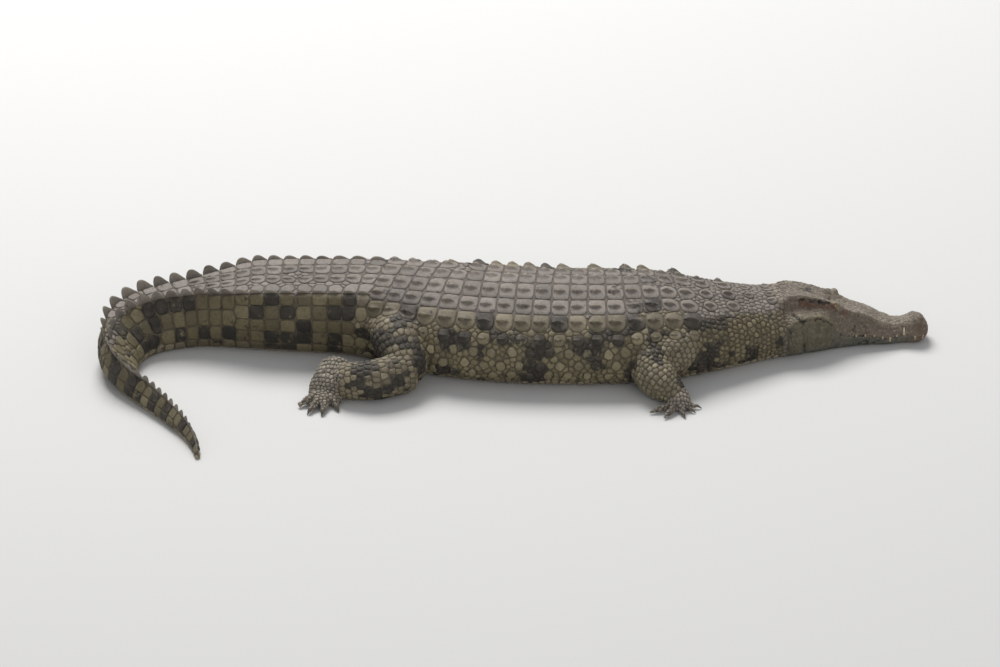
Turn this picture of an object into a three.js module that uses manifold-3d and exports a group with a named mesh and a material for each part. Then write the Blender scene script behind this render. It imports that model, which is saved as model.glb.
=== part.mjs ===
// A Nile crocodile at rest, life size, in millimetres, +Z up.
// It lies on its belly with its head towards +X, and its tail swings round its right side.
// The animal is built like a ship's hull: a plan line that bends (the spine), and a few "lines"
// that give the height and half-width of each section along that spine.
import * as THREE from "three";
import { mergeVertices } from "three/addons/utils/BufferGeometryUtils.js";
import Module from "manifold-3d";

const wasm = await Module();
wasm.setup();

// ---- Driving dimensions -------------------------------------------------------------------

const GAP = 0.4; // clearance between neighbouring solids
const ROOM = 1; // clearance round a solid that another is cut to
const SNOUT_TIP = new THREE.Vector2(1310, 0);
const LENGTH = 3200; // along the spine, from the snout's tip to the tail's tip
const SPINE_STEP = 5; // step in which the spine is laid out
const HEAD_END = 470; // stations along the spine where the body is parted
const NECK_END = 730;
const TRUNK_END = 1690;
const TAIL_CUTS = [2060, 2330, 2490, 2640, 2850, LENGTH];
const TAIL_NAMES = ["tail_base", "tail_fore", "tail_bend", "tail_turn", "tail_return", "tail_tip"];
const SCUTE_ROWS = 18; // cross rows of back plates between the neck and the tail
const WHORLS = 37; // rings of scales on the tail
const CREST_OF_ROW = 0.82; // where a row of scales is highest, as a share of its length
const LIMB_SIDES = 9;
const FIRST_WHORL = 52; // length of the tail's first ring
const KEEL_HEIGHT = 9; // keels of the back plates
const CREST_HEIGHT = 32; // upright flaps along the tail
const CREST_START = 1760; // where the tail's double crest starts to rise
const CREST_FULL = 2150;
const CREST_JOIN = [2450, 2650]; // the two crests run together here
const EYE_RADIUS = 13;
const EYE_FACETS = [10, 6]; // around and from pole to pole
const CLAW_LENGTH = 24;
const CLAW_TAPER = 0.6;
const CLAW_DIP = -0.2; // the steepest that a claw points down

// Heading of the spine at stations along it: degrees to the animal's right, tailwards.
const HEADINGS = [
  [0, 0], [350, 2], [430, 7], [500, 12], [600, 14.5], [700, 11], [800, 6], [900, 4], [1000, 0.5],
  [1150, -3], [1300, -5], [1400, -7], [1500, -13], [1600, -15.5], [1700, -12], [1780, -6],
  [1860, -2], [1960, -1.5], [2060, -1], [2160, 2], [2240, 10], [2300, 20], [2370, 29],
  [2420, 42], [2470, 57], [2520, 72], [2570, 85], [2630, 98], [2690, 111], [2770, 121],
  [2860, 125], [3000, 120], [3100, 110], [LENGTH, 95],
];

// ---- The lines of the body: [station, value] ------------------------------------------------

// Height of the top on the midline, without keels and crests.
const CROWN = [
  [0, 40], [6, 60], [16, 76], [30, 87], [48, 86], [66, 76], [88, 69], [110, 69], [130, 77],
  [150, 84], [174, 97], [208, 110], [240, 117], [269, 125], [300, 134], [330, 150], [360, 163],
  [400, 173], [430, 176], [455, 174], [500, 174], [570, 185], [640, 199], [700, 208],
  [750, 219], [850, 234], [950, 237], [1150, 236], [1350, 237], [1450, 239], [1550, 234],
  [1650, 229], [1750, 222], [1850, 216], [1960, 213], [2060, 209], [2165, 191], [2230, 181],
  [2300, 171], [2430, 156], [2520, 140], [2630, 118], [2750, 91], [2900, 70], [3050, 52],
  [3150, 32], [LENGTH, 14],
];
// Half-width at the lip, and behind the head at the widest line of the body.
const WIDE = [
  [0, 3], [3, 18], [10, 32], [22, 43], [45, 50], [62, 48], [76, 46], [92, 49], [120, 57],
  [150, 60], [190, 63], [230, 69], [270, 80], [310, 94], [350, 107], [400, 124], [450, 134],
  [500, 147], [570, 160], [640, 179], [700, 199], [750, 214], [850, 238], [950, 250],
  [1050, 253], [1150, 256], [1250, 260], [1350, 256], [1450, 245], [1550, 218], [1650, 191],
  [1750, 168], [1850, 156], [1960, 148], [2060, 136], [2165, 117], [2300, 96], [2430, 82],
  [2520, 70], [2600, 58], [2700, 47], [2800, 37], [2900, 30], [3000, 24], [3100, 16],
  [LENGTH, 6],
];
// Height of the lip line, and behind the head of the widest line.
const LIP = [
  [0, 30], [20, 27], [45, 29], [62, 35], [76, 42], [90, 36], [120, 28], [150, 33], [180, 41],
  [214, 42], [250, 46], [285, 68], [306, 100], [346, 125], [401, 127], [440, 114], [480, 95],
  [560, 88], [900, 92], [1560, 90], [1750, 90], [1950, 84], [2250, 68], [2500, 50], [2750, 32],
  [3050, 18], [LENGTH, 6],
];
// Half-width of the top's edge: snout ridge, brow, skull table, back shield, tail crest.
const EDGE = [
  [0, 2], [6, 13], [20, 22], [45, 24], [70, 22], [100, 26], [150, 31], [210, 34], [240, 37],
  [270, 41], [295, 44], [340, 42], [370, 43], [430, 50], [460, 58], [520, 66], [570, 70],
  [640, 80], [700, 95], [750, 104], [850, 112], [1000, 124], [1200, 128], [1350, 130],
  [1450, 128], [1550, 122], [1650, 116], [1750, 112], [1960, 112], [2060, 110], [2120, 97],
  [2180, 76], [2250, 57], [2400, 38], [2520, 20], [2640, 8], [2750, 4], [LENGTH, 2],
];
// How far that edge lies below the midline; a negative value stands above it.
const EDGE_DROP = [
  [0, 6], [20, 4], [50, 3], [100, 7], [150, 7], [210, 5], [260, 0], [285, -12], [305, -14],
  [330, -5], [345, -2], [430, 0], [455, 4], [520, 12], [620, 15], [800, 18], [1150, 20],
  [1500, 16], [1700, 10], [1900, 5], [2250, 2], [LENGTH, 0],
];
// How far the top leans to the animal's left, where the tail rolls outwards in its bend.
const LEAN = [
  [0, 0], [2210, 0], [2300, 14], [2400, 36], [2500, 50], [2620, 46], [2750, 18], [2850, 0],
  [LENGTH, 0],
];
// Half-width of the flat underside, and its height, which only the chin lifts.
const SOLE = [
  [0, 1], [10, 12], [30, 26], [76, 30], [120, 36], [200, 44], [270, 58], [350, 84], [420, 98],
  [480, 104], [560, 114], [640, 128], [720, 145], [800, 165], [900, 180], [1100, 190],
  [1300, 185], [1450, 172], [1550, 145], [1650, 120], [1750, 108], [1950, 96], [2060, 88],
  [2250, 64], [2520, 40], [2750, 22], [3050, 9], [LENGTH, 3],
];
const CHIN = [[0, 24], [8, 12], [25, 3], [50, 0], [LENGTH, 0]];
// How far the flesh between those lines bulges, as a share of the line's length.
const CHEEK_BULGE = [
  [0, 0.15], [76, 0.12], [150, 0.12], [270, 0.03], [330, -0.06], [420, -0.06], [500, 0.1],
  [700, 0.17], [1150, 0.19], [1700, 0.17], [2100, 0.11], [2600, 0.07], [LENGTH, 0.05],
];
const TEMPLE_BULGE = [
  [0, 0.2], [76, 0.15], [150, 0.12], [270, 0], [330, -0.16], [420, -0.2], [500, 0.08],
  [700, 0.15], [1150, 0.15], [1700, 0.14], [2100, 0.09], [2600, 0.05], [LENGTH, 0.03],
];
const JOWL_BULGE = [
  [0, 0.12], [100, 0.12], [270, 0.12], [350, 0.2], [420, 0.22], [500, 0.18], [1700, 0.2],
  [2250, 0.14], [LENGTH, 0.1],
];

// ---- Small tools ----------------------------------------------------------------------------

const radians = THREE.MathUtils.degToRad;
const smooth = (x, low, high) => THREE.MathUtils.smoothstep(x, low, high);

// A smooth curve through [station, value] pairs that never overshoots them (Fritsch-Carlson).
function line(pairs) {
  const n = pairs.length;
  const slope = pairs.slice(1).map(([s, v], i) => (v - pairs[i][1]) / (s - pairs[i][0]));
  const tangent = pairs.map((_, i) => {
    if (i === 0) return slope[0];
    if (i === n - 1) return slope[n - 2];
    const [a, b] = [slope[i - 1], slope[i]];
    return a * b <= 0 ? 0 : (2 * a * b) / (a + b);
  });
  return (s) => {
    let i = 0;
    while (i < n - 2 && s > pairs[i + 1][0]) i++;
    const [[s0, v0], [s1, v1]] = [pairs[i], pairs[i + 1]];
    const h = s1 - s0;
    const u = THREE.MathUtils.clamp((s - s0) / h, 0, 1);
    const w = 1 - u;
    return (
      v0 * w * w * (1 + 2 * u) + v1 * u * u * (3 - 2 * u) +
      h * u * w * (tangent[i] * w - tangent[i + 1] * u)
    );
  };
}

const heading = line(HEADINGS);
const crown = line(CROWN);
const wide = line(WIDE);
const lip = line(LIP);
const edge = line(EDGE);
const edgeDrop = line(EDGE_DROP);
const lean = line(LEAN);
const sole = line(SOLE);
const chin = line(CHIN);
const cheekBulge = line(CHEEK_BULGE);
const templeBulge = line(TEMPLE_BULGE);
const jowlBulge = line(JOWL_BULGE);

// The spine's plan, laid out step by step from the snout's tip.
const spinePoints = [SNOUT_TIP.clone()];
for (let s = SPINE_STEP / 2; s < LENGTH + 2 * SPINE_STEP; s += SPINE_STEP) {
  const turn = radians(heading(s));
  const step = new THREE.Vector2(-Math.cos(turn), -Math.sin(turn)).multiplyScalar(SPINE_STEP);
  spinePoints.push(spinePoints.at(-1).clone().add(step));
}

// The place and the direction of the animal's left at a station.
function spineAt(s) {
  const place = Math.max(s, 0) / SPINE_STEP;
  const i = Math.floor(place);
  const point = spinePoints[i].clone().lerp(spinePoints[i + 1], place - i);
  const turn = radians(heading(s));
  return { point, left: new THREE.Vector2(-Math.sin(turn), Math.cos(turn)) };
}

// A point given by its station, its offset to the left and its height.
function onSpine(s, across, up) {
  const { point, left } = spineAt(s);
  return new THREE.Vector3(point.x + left.x * across, point.y + left.y * across, up);
}

// ---- Cross-sections -------------------------------------------------------------------------

// A point part-way along a-b, pushed out to the right of that direction by bulge times its length.
function bulged(a, b, share, bulge) {
  const along = b.clone().sub(a);
  return a.clone().addScaledVector(along, share)
    .add(new THREE.Vector2(along.y, -along.x).multiplyScalar(bulge));
}

// The eight points of half a section, from the middle of the belly to the middle of the back.
function sectionPoints(s) {
  const belly = new THREE.Vector2(0, chin(s));
  const soleEdge = new THREE.Vector2(sole(s), chin(s));
  const widest = new THREE.Vector2(wide(s), lip(s));
  const topEdge = new THREE.Vector2(edge(s), crown(s) - edgeDrop(s));
  const top = new THREE.Vector2(0, crown(s));
  const jowl = bulged(soleEdge, widest, 0.5, jowlBulge(s));
  const cheek = bulged(widest, topEdge, 0.33, cheekBulge(s));
  const temple = bulged(widest, topEdge, 0.7, templeBulge(s));
  return [belly, soleEdge, jowl, widest, cheek, temple, topEdge, top];
}

// Points of half a section at the places q, where 0 is the belly's middle and 7 the back's.
function halfSection(s, places) {
  const points = sectionPoints(s);
  const mirrored = (p) => new THREE.Vector2(-p.x, p.y);
  const all = [mirrored(points[1]), ...points, mirrored(points[6])];
  return places.map((q) => {
    const i = Math.min(Math.floor(q), 6);
    const u = q - i;
    const [a, b, c, d] = all.slice(i, i + 4);
    const spline = (p0, p1, p2, p3) =>
      0.5 * (2 * p1 + (p2 - p0) * u + (2 * p0 - 5 * p1 + 4 * p2 - p3) * u * u +
        (3 * p1 - p0 - 3 * p2 + p3) * u * u * u);
    return new THREE.Vector2(
      q === 0 || q === 7 ? 0 : spline(a.x, b.x, c.x, d.x),
      Math.max(spline(a.y, b.y, c.y, d.y), 0),
    );
  });
}

// A closed ring of points at a station. raise(q) lifts a point; grow moves all of them outwards.
function ring(s, places, raise = () => 0, grow = 0) {
  const half = halfSection(s, places);
  half.forEach((p, i) => (p.y += raise(places[i], s)));
  const middle = new THREE.Vector2(0, crown(s) / 2);
  if (grow) half.forEach((p) => p.add(p.clone().sub(middle).setLength(grow)));
  const right = half.slice(1, -1).reverse().map((p) => new THREE.Vector2(-p.x, p.y));
  return [...half, ...right].map((p) => onSpine(s, p.x + (lean(s) * p.y) / crown(s), p.y));
}

// ---- Solids from rings ----------------------------------------------------------------------

// A closed geometry through rings of equal size, with its two ends closed by fans.
function skinned(rings, nose = null, end = null) {
  const n = rings[0].length;
  const centre = (r) => r.reduce((sum, p) => sum.add(p), new THREE.Vector3()).divideScalar(n);
  const points = [...rings.flat(), nose ?? centre(rings[0]), end ?? centre(rings.at(-1))];
  const [first, last] = [points.length - 2, points.length - 1];
  const faces = [];
  for (let j = 0; j < n; j++) {
    const k = (j + 1) % n;
    faces.push(first, j, k);
    for (let i = 0; i < rings.length - 1; i++) {
      const [a, b] = [i * n + j, i * n + k];
      faces.push(a, a + n, b, b, a + n, b + n);
    }
    const base = (rings.length - 1) * n;
    faces.push(last, base + k, base + j);
  }
  const geometry = new THREE.BufferGeometry().setFromPoints(points);
  geometry.setIndex(faces);
  if (signedVolume(geometry) < 0) geometry.index.array.reverse();
  return geometry;
}

function signedVolume(geometry) {
  const [position, index] = [geometry.getAttribute("position"), geometry.index];
  const corner = (i) => new THREE.Vector3().fromBufferAttribute(position, index.getX(i));
  let volume = 0;
  for (let i = 0; i < index.count; i += 3) {
    volume += corner(i).dot(corner(i + 1).cross(corner(i + 2))) / 6;
  }
  return volume;
}

// Geometry to manifold solid and back.
function solid(geometry) {
  const bare = geometry.clone();
  bare.deleteAttribute("normal");
  bare.deleteAttribute("uv");
  const merged = mergeVertices(bare, 1e-3);
  return new wasm.Manifold(new wasm.Mesh({
    numProp: 3,
    vertProperties: new Float32Array(merged.getAttribute("position").array),
    triVerts: new Uint32Array(merged.index.array),
  }));
}

function geometryOf(manifold) {
  const mesh = manifold.getMesh();
  return new THREE.BufferGeometry()
    .setAttribute("position", new THREE.BufferAttribute(mesh.vertProperties, 3))
    .setIndex(new THREE.BufferAttribute(mesh.triVerts, 1));
}

// The largest of the pieces that a cut leaves.
const largest = (manifold) =>
  manifold.decompose().reduce((best, m) => (m.volume() > best.volume() ? m : best));

// ---- Materials ------------------------------------------------------------------------------

const matte = (color, roughness = 0.85) =>
  new THREE.MeshStandardMaterial({ color, roughness, metalness: 0 });
const backHide = matte("#7f766b");
const headHide = matte("#7c7463");
const tailHide = matte("#5f5a45");
const legHide = matte("#6f6a58");
const clawHorn = matte("#3a342c", 0.5);
const eyeball = matte("#6b5a2c", 0.15);

const crocodile = new THREE.Group();

function addPiece(name, geometry, material) {
  const mesh = new THREE.Mesh(geometry, material);
  mesh.name = name;
  crocodile.add(mesh);
  return mesh;
}

// ---- Neck, trunk and tail -------------------------------------------------------------------

// Stations of the tail's rings of scales, which shorten towards the tip.
const whorlStations = [TRUNK_END];
const shrink = (2 * ((LENGTH - 14 - TRUNK_END) / WHORLS - FIRST_WHORL)) / (WHORLS - 1);
for (let i = 0; i < WHORLS; i++) whorlStations.push(whorlStations.at(-1) + FIRST_WHORL + shrink * i);

const rowStations = Array.from(
  { length: SCUTE_ROWS + 1 },
  (_, i) => NECK_END + ((TRUNK_END - NECK_END) * i) / SCUTE_ROWS,
);

// How far a station lies through its row, from 0 at the front to 1 at the rear.
function rowPhase(s) {
  const stations = s < TRUNK_END ? rowStations : whorlStations;
  const i = stations.findLastIndex((start) => start <= s);
  return i < 0 || i >= stations.length - 1 ? 0 : (s - stations[i]) / (stations[i + 1] - stations[i]);
}

// Height of keels and crests: each rises towards the rear of its row, then drops.
function relief(q, s) {
  const tooth = rowPhase(s) < 0.1 ? 0 : 1;
  const onTail = smooth(s, CREST_START - 150, CREST_START + 100);
  const isKeel = q === 6 || q === 5.4 || q === 6.5;
  const keel = isKeel ? KEEL_HEIGHT * (1 - onTail) * smooth(s, NECK_END, NECK_END + 60) : 0;
  const crestSize = CREST_HEIGHT * smooth(s, CREST_START, CREST_FULL) *
    (1 - 0.4 * smooth(s, 3050, LENGTH));
  const joined = smooth(s, ...CREST_JOIN);
  const isCrest = q === 6 ? 1 : q > 6 ? joined : 0;
  return tooth * keel + crestSize * isCrest * (0.45 + 0.55 * tooth);
}

const TRUNK_PLACES = [0, 1, 2, 3, 4.2, 5.4, 5.7, 6, 6.4, 7];
const TAIL_PLACES = [0, 1, 2.3, 3.5, 5, 5.8, 6, 6.3, 7];
const TIP_PLACES = [0, 1, 2.5, 4.4, 6, 7];

// A length of the body between two stations, with two rings for each row of plates.
function bodyLength(from, to, rows, places, grow = 0) {
  const inside = rows.filter((s) => s > from + 8 && s < to - 8);
  const starts = [from + GAP / 2, ...inside];
  const ends = [...inside, to - GAP / 2];
  const stations = starts.flatMap((s, i) => [s, s + CREST_OF_ROW * (ends[i] - s)]);
  stations.push(to - GAP / 2);
  return skinned(stations.map((s) => ring(s, places, relief, grow)));
}

const neckRows = [HEAD_END, 500, 540, 590, 640, 690, NECK_END];
const trunk = bodyLength(NECK_END, TRUNK_END, rowStations, TRUNK_PLACES);
const roomRound = (from, to, rows, places) =>
  solid(bodyLength(from - ROOM, to + ROOM, rows, places, ROOM));
const trunkRoom = roomRound(NECK_END, TRUNK_END, rowStations, TRUNK_PLACES);
const neck = bodyLength(HEAD_END, NECK_END, neckRows, TAIL_PLACES);
const neckRoom = roomRound(HEAD_END, NECK_END, neckRows, TAIL_PLACES);
addPiece("neck", neck, backHide);
addPiece("trunk", trunk, backHide);

const tailRooms = [];
TAIL_NAMES.forEach((name, i) => {
  const [from, to] = [i ? TAIL_CUTS[i - 1] : TRUNK_END, TAIL_CUTS[i]];
  const places = i < 3 ? TAIL_PLACES : TIP_PLACES;
  addPiece(name, bodyLength(from, to, whorlStations, places), tailHide);
  tailRooms.push(roomRound(from, to, whorlStations, places));
});

// ---- Head -----------------------------------------------------------------------------------

const HEAD_PLACES = [0, 1, 2, 3, 4, 5, 6, 6.5, 7];
const HEAD_STATIONS = [
  1.5, 6, 15, 30, 48, 62, 76, 92, 120, 160, 210, 255, 285, 305, 330, 360, 401, 432,
  HEAD_END - GAP / 2,
];
let head = solid(skinned(
  HEAD_STATIONS.map((s) => ring(s, HEAD_PLACES)),
  onSpine(0, 0, lip(0) + 6),
));

// The mouth is parted from the lip's tip to its corner, and then down behind the jaw.
const mouthLine = [
  new THREE.Vector2(SNOUT_TIP.x + 12, lip(0)),
  ...[0, 20, 45, 62, 76, 90, 120, 165, 214, 250, 285, 306, 346, 401]
    .map((s) => new THREE.Vector2(SNOUT_TIP.x - s, lip(s))),
  new THREE.Vector2(SNOUT_TIP.x - 428, 106),
  new THREE.Vector2(SNOUT_TIP.x - 448, 66),
  new THREE.Vector2(SNOUT_TIP.x - 456, -10),
];
const lower = [...mouthLine].reverse().map((p, i) => p.clone().add(
  i < 2 ? new THREE.Vector2(GAP, 0) : new THREE.Vector2(0, -GAP),
));
const mouthCut = solid(new THREE.ExtrudeGeometry(
  new THREE.Shape([...mouthLine, ...lower]), { depth: 400, bevelEnabled: false },
).rotateX(Math.PI / 2).translate(0, 200, 0));

// Eyes sit in sockets under the brow.
const EYE = { station: 288, across: 42, up: 136 };
const eyePlaces = [1, -1].map((side) => onSpine(EYE.station, side * EYE.across, EYE.up));
for (const place of eyePlaces) {
  const socket = new THREE.SphereGeometry(EYE_RADIUS + GAP, ...EYE_FACETS).translate(...place);
  head = head.subtract(solid(socket));
}

// Ear flaps lie under the edge of the skull table.
const EAR = { from: 346, to: 404, across: 50, up: 154, thick: 4, tall: 11 };
function earFlap(side, grow) {
  const [long, tall] = [(EAR.to - EAR.from) / 2 + grow, EAR.tall / 2 + grow];
  const leaf = new THREE.Shape().absellipse(0, 0, long, tall, 0, 2 * Math.PI);
  const flap = new THREE.ExtrudeGeometry(leaf, {
    depth: EAR.thick + 2 * grow, bevelEnabled: false, curveSegments: 6,
  });
  const place = onSpine((EAR.from + EAR.to) / 2, side * EAR.across, EAR.up);
  return flap.translate(0, 0, -EAR.thick / 2 - grow).rotateX(Math.PI / 2 - side * radians(38))
    .translate(...place);
}
const earFlaps = [1, -1].map((side) => earFlap(side, 0));
for (const side of [1, -1]) head = head.subtract(solid(earFlap(side, GAP)));

const mouthParts = head.subtract(mouthCut).decompose().sort((a, b) => b.volume() - a.volume());
let [skull, jaw] = mouthParts.slice(0, 2);
if (skull.boundingBox().max[2] < jaw.boundingBox().max[2]) [skull, jaw] = [jaw, skull];

// Teeth: [station, length, radius]. The upper ones pass outside the lower jaw.
const UPPER_TEETH = [
  [18, 10, 3.6], [42, 12, 3.8], [98, 10, 3.6], [119, 15, 4.6], [142, 12, 4], [168, 10, 3.6],
  [196, 10, 3.6], [224, 9, 3.4],
];
const LOWER_TOOTH = [76, 17, 4.6]; // the fourth, which stands in the notch of the upper jaw
function tooth([s, length, radius], side, upwards, grow = 0) {
  const cone = new THREE.ConeGeometry(radius + grow, length + 6 + grow, 4);
  const out = wide(s) - 0.5;
  if (!upwards) cone.rotateX(Math.PI / 2 + Math.PI);
  else cone.rotateX(Math.PI / 2);
  const middle = lip(s) + (upwards ? 1 : -1) * (length / 2 - 3);
  return solid(cone.translate(...onSpine(s, side * out, middle)));
}
for (const side of [1, -1]) {
  for (const size of UPPER_TEETH) {
    skull = skull.add(tooth(size, side, false));
    jaw = jaw.subtract(tooth(size, side, false, GAP));
  }
  jaw = jaw.add(tooth(LOWER_TOOTH, side, true));
  skull = skull.subtract(tooth(LOWER_TOOTH, side, true, GAP));
}
addPiece("skull", geometryOf(largest(skull)), headHide);
addPiece("lower_jaw", geometryOf(largest(jaw)), headHide);
["left", "right"].forEach((side, i) => {
  addPiece("eye_" + side, new THREE.SphereGeometry(EYE_RADIUS, ...EYE_FACETS), eyeball)
    .position.copy(eyePlaces[i]);
  addPiece("ear_flap_" + side, earFlaps[i], headHide);
});

// ---- Limbs ----------------------------------------------------------------------------------

// A limb's joints: [x, y, z of the middle, half-width, half-height].
const LIMBS = {
  fore_right: {
    upper: [[600, -170, 108, 66, 62], [535, -270, 104, 66, 64], [450, -318, 76, 68, 69]],
    fore: [[450, -318, 76, 68, 69], [486, -386, 57, 61, 56], [536, -424, 31, 36, 30]],
  },
  fore_left: {
    upper: [[600, 30, 108, 64, 60], [527, 130, 90, 62, 58], [450, 190, 62, 60, 60]],
    fore: [[450, 190, 62, 60, 60], [496, 238, 50, 52, 48], [554, 264, 31, 35, 29]],
  },
  hind_right: {
    upper: [[-318, -120, 118, 88, 70], [-302, -230, 119, 85, 75], [-280, -334, 64, 62, 63]],
    fore: [[-280, -334, 63, 62, 62], [-376, -382, 62, 60, 61], [-474, -374, 53, 52, 53]],
  },
  hind_left: {
    upper: [[-330, 90, 110, 84, 62], [-300, 180, 88, 74, 58], [-238, 262, 55, 54, 54]],
    fore: [[-238, 262, 55, 54, 54], [-330, 292, 48, 45, 47], [-432, 296, 40, 38, 38]],
  },
};
// Feet: the heel, the palm's middle with half-width and half-height, each toe's tip, and which
// toes bear claws. Hands have no heel of their own.
const FEET = {
  fore_right: {
    palm: [538, -452, 22, 36, 20], clawed: [0, 1, 2], radius: 11,
    tips: [[590, -452], [574, -474], [551, -502], [492, -520], [450, -487]],
  },
  fore_left: {
    palm: [568, 266, 21, 32, 20], clawed: [0, 1, 2], radius: 11,
    tips: [[616, 230], [648, 256], [644, 290], [600, 324], [552, 318]],
  },
  hind_right: {
    heel: [-490, -306, 58, 54, 48], palm: [-514, -380, 36, 61, 34], clawed: [0, 1, 2], radius: 15,
    tips: [[-488, -462], [-530, -488], [-568, -480], [-602, -446]],
  },
  hind_left: {
    heel: [-440, 284, 50, 50, 44], palm: [-503, 304, 32, 54, 30], clawed: [0, 1, 2], radius: 15,
    tips: [[-616, 262], [-650, 296], [-646, 336], [-608, 372]],
  },
};

// A round ring across a path, with its own half-width and half-height.
function limbRing(centre, direction, halfWidth, halfHeight, sides) {
  const flat = new THREE.Vector3(0, 0, 1).cross(direction).normalize();
  const up = direction.clone().cross(flat).normalize();
  return Array.from({ length: sides }, (_, i) => {
    const angle = (2 * Math.PI * (i + 0.5)) / sides;
    const p = centre.clone().addScaledVector(flat, halfWidth * Math.cos(angle))
      .addScaledVector(up, halfHeight * Math.sin(angle));
    p.z = Math.max(p.z, 0);
    return p;
  });
}

// Rings along a smooth path through joints. grow makes them larger, and moves the ends outwards.
function limbRings(joints, count, sides, grow = 0) {
  const path = limbPath(joints);
  const last = joints.length - 1;
  return Array.from({ length: count }, (_, i) => {
    const t = i / (count - 1);
    const k = Math.min(Math.floor(t * last), last - 1);
    const u = t * last - k;
    const size = [3, 4].map((a) => THREE.MathUtils.lerp(joints[k][a], joints[k + 1][a], u) + grow);
    const tangent = path.getTangent(t);
    const past = t === 0 ? -grow : t === 1 ? grow : 0;
    const centre = path.getPoint(t).addScaledVector(tangent, past);
    return limbRing(centre, tangent, size[0], size[1], sides);
  });
}

// The joints of a toe from the palm's middle to its tip, lying on the ground.
function toeJoints(foot, tip) {
  const [x, y, z] = foot.palm;
  const end = new THREE.Vector3(tip[0], tip[1], 0.6 * foot.radius);
  const root = new THREE.Vector3(x, y, z).lerp(end, 0.18);
  const knuckle = root.clone().lerp(end, 0.55);
  knuckle.z = 1.25 * foot.radius;
  return [
    [...root, foot.radius, foot.radius * 1.15],
    [...knuckle, foot.radius, foot.radius * 1.1],
    [...end, 0.6 * foot.radius, 0.6 * foot.radius],
  ];
}

const limbPath = (joints) => new THREE.CatmullRomCurve3(
  joints.map((j) => new THREE.Vector3(j[0], j[1], j[2])),
);
const toePath = (foot, tip) => limbPath(toeJoints(foot, tip));

function toeRings(foot, tip) {
  const joints = toeJoints(foot, tip);
  return limbRings(joints, 3, 5);
}

// A claw: a horn cone that curves down to the ground, made pointing along +X.
function clawGeometry(radius) {
  const path = new THREE.QuadraticBezierCurve3(
    new THREE.Vector3(0, 0, 0),
    new THREE.Vector3(0.6 * CLAW_LENGTH, 0, 0.6 * radius),
    new THREE.Vector3(CLAW_LENGTH, 0, 0.2 * radius),
  );
  const rings = [0, 0.55].map((t) => {
    const r = radius * (1 - CLAW_TAPER * t);
    const centre = path.getPoint(t);
    return Array.from({ length: 5 }, (_, i) => {
      const angle = (2 * Math.PI * (i + 0.5)) / 5;
      return centre.clone().add(new THREE.Vector3(0, r * Math.cos(angle), r * Math.sin(angle)));
    });
  });
  return skinned(rings, null, path.getPoint(1));
}

const bodyRooms = [trunkRoom, neckRoom, ...tailRooms];
const clearOfBody = (piece) => largest(bodyRooms.reduce((rest, room) => rest.subtract(room), piece));

for (const [name, limb] of Object.entries(LIMBS)) {
  const foot = FEET[name];
  const isFore = name.startsWith("fore");
  const names = isFore ? ["upper_arm", "forearm", "hand"] : ["thigh", "shank", "foot"];
  const side = name.split("_")[1];
  const upper = solid(skinned(limbRings(limb.upper, 5, LIMB_SIDES)));
  const lowerRoom = solid(skinned(limbRings(limb.fore, 5, LIMB_SIDES, ROOM)));
  const lowerLimb = solid(skinned(limbRings(limb.fore, 5, LIMB_SIDES)));
  const root = foot.heel ?? limb.fore.at(-1);
  const front = [0, 1].map((axis) => foot.palm[axis] + 0.45 * (foot.palm[axis] - root[axis]));
  const palmJoints = [root, foot.palm, [...front, 9, foot.palm[3] * 0.9, 9]];
  let paw = solid(skinned(limbRings(palmJoints, 4, 8)));
  for (const tip of foot.tips) paw = paw.add(solid(skinned(toeRings(foot, tip))));
  addPiece(names[0] + "_" + side, geometryOf(clearOfBody(upper.subtract(lowerRoom))), legHide);
  addPiece(names[1] + "_" + side, geometryOf(clearOfBody(lowerLimb)), legHide);
  addPiece(names[2] + "_" + side, geometryOf(largest(clearOfBody(paw).subtract(lowerRoom))), legHide);
  for (const digit of foot.clawed) {
    const path = toePath(foot, foot.tips[digit]);
    const radius = 0.45 * foot.radius;
    const claw = addPiece(
      `claw_${names[2]}_${side}_${digit + 1}`, clawGeometry(radius), clawHorn,
    );
    const toeward = path.getTangent(1);
    const out = toeward.clone().setZ(Math.max(toeward.z, CLAW_DIP)).normalize();
    const seat = GAP + radius * out.angleTo(toeward);
    claw.position.copy(path.getPoint(1)).addScaledVector(out, seat);
    claw.quaternion.setFromUnitVectors(new THREE.Vector3(1, 0, 0), out);
  }
}

// ---- The part's frame: origin under the middle of the whole animal, on the ground --------------

const extent = new THREE.Box3().setFromObject(crocodile, true);
const middle = extent.getCenter(new THREE.Vector3());
crocodile.position.set(-middle.x, -middle.y, 0);

export default crocodile;
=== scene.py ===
"""A crocodile at rest, life size: one closed skin, the scales on it, lids, eyes, teeth and claws.

Lengths are millimetres while a shape is worked out, in the plan that the body's solids share, and every mesh
is written in metres. A station is a length along the spine from the snout's tip. A place runs round half a
section: 0 the middle of the belly, 1 the sole's edge, 3 the lip or widest line, 6 the top's edge, 7 the
middle of the back.
"""
import sys
import logging
import math
from collections.abc import Callable, Sequence
from dataclasses import dataclass, field, fields, replace
from enum import Enum

import bpy
import numpy as np
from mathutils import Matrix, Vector
from mathutils.bvhtree import BVHTree
from mathutils.kdtree import KDTree


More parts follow.
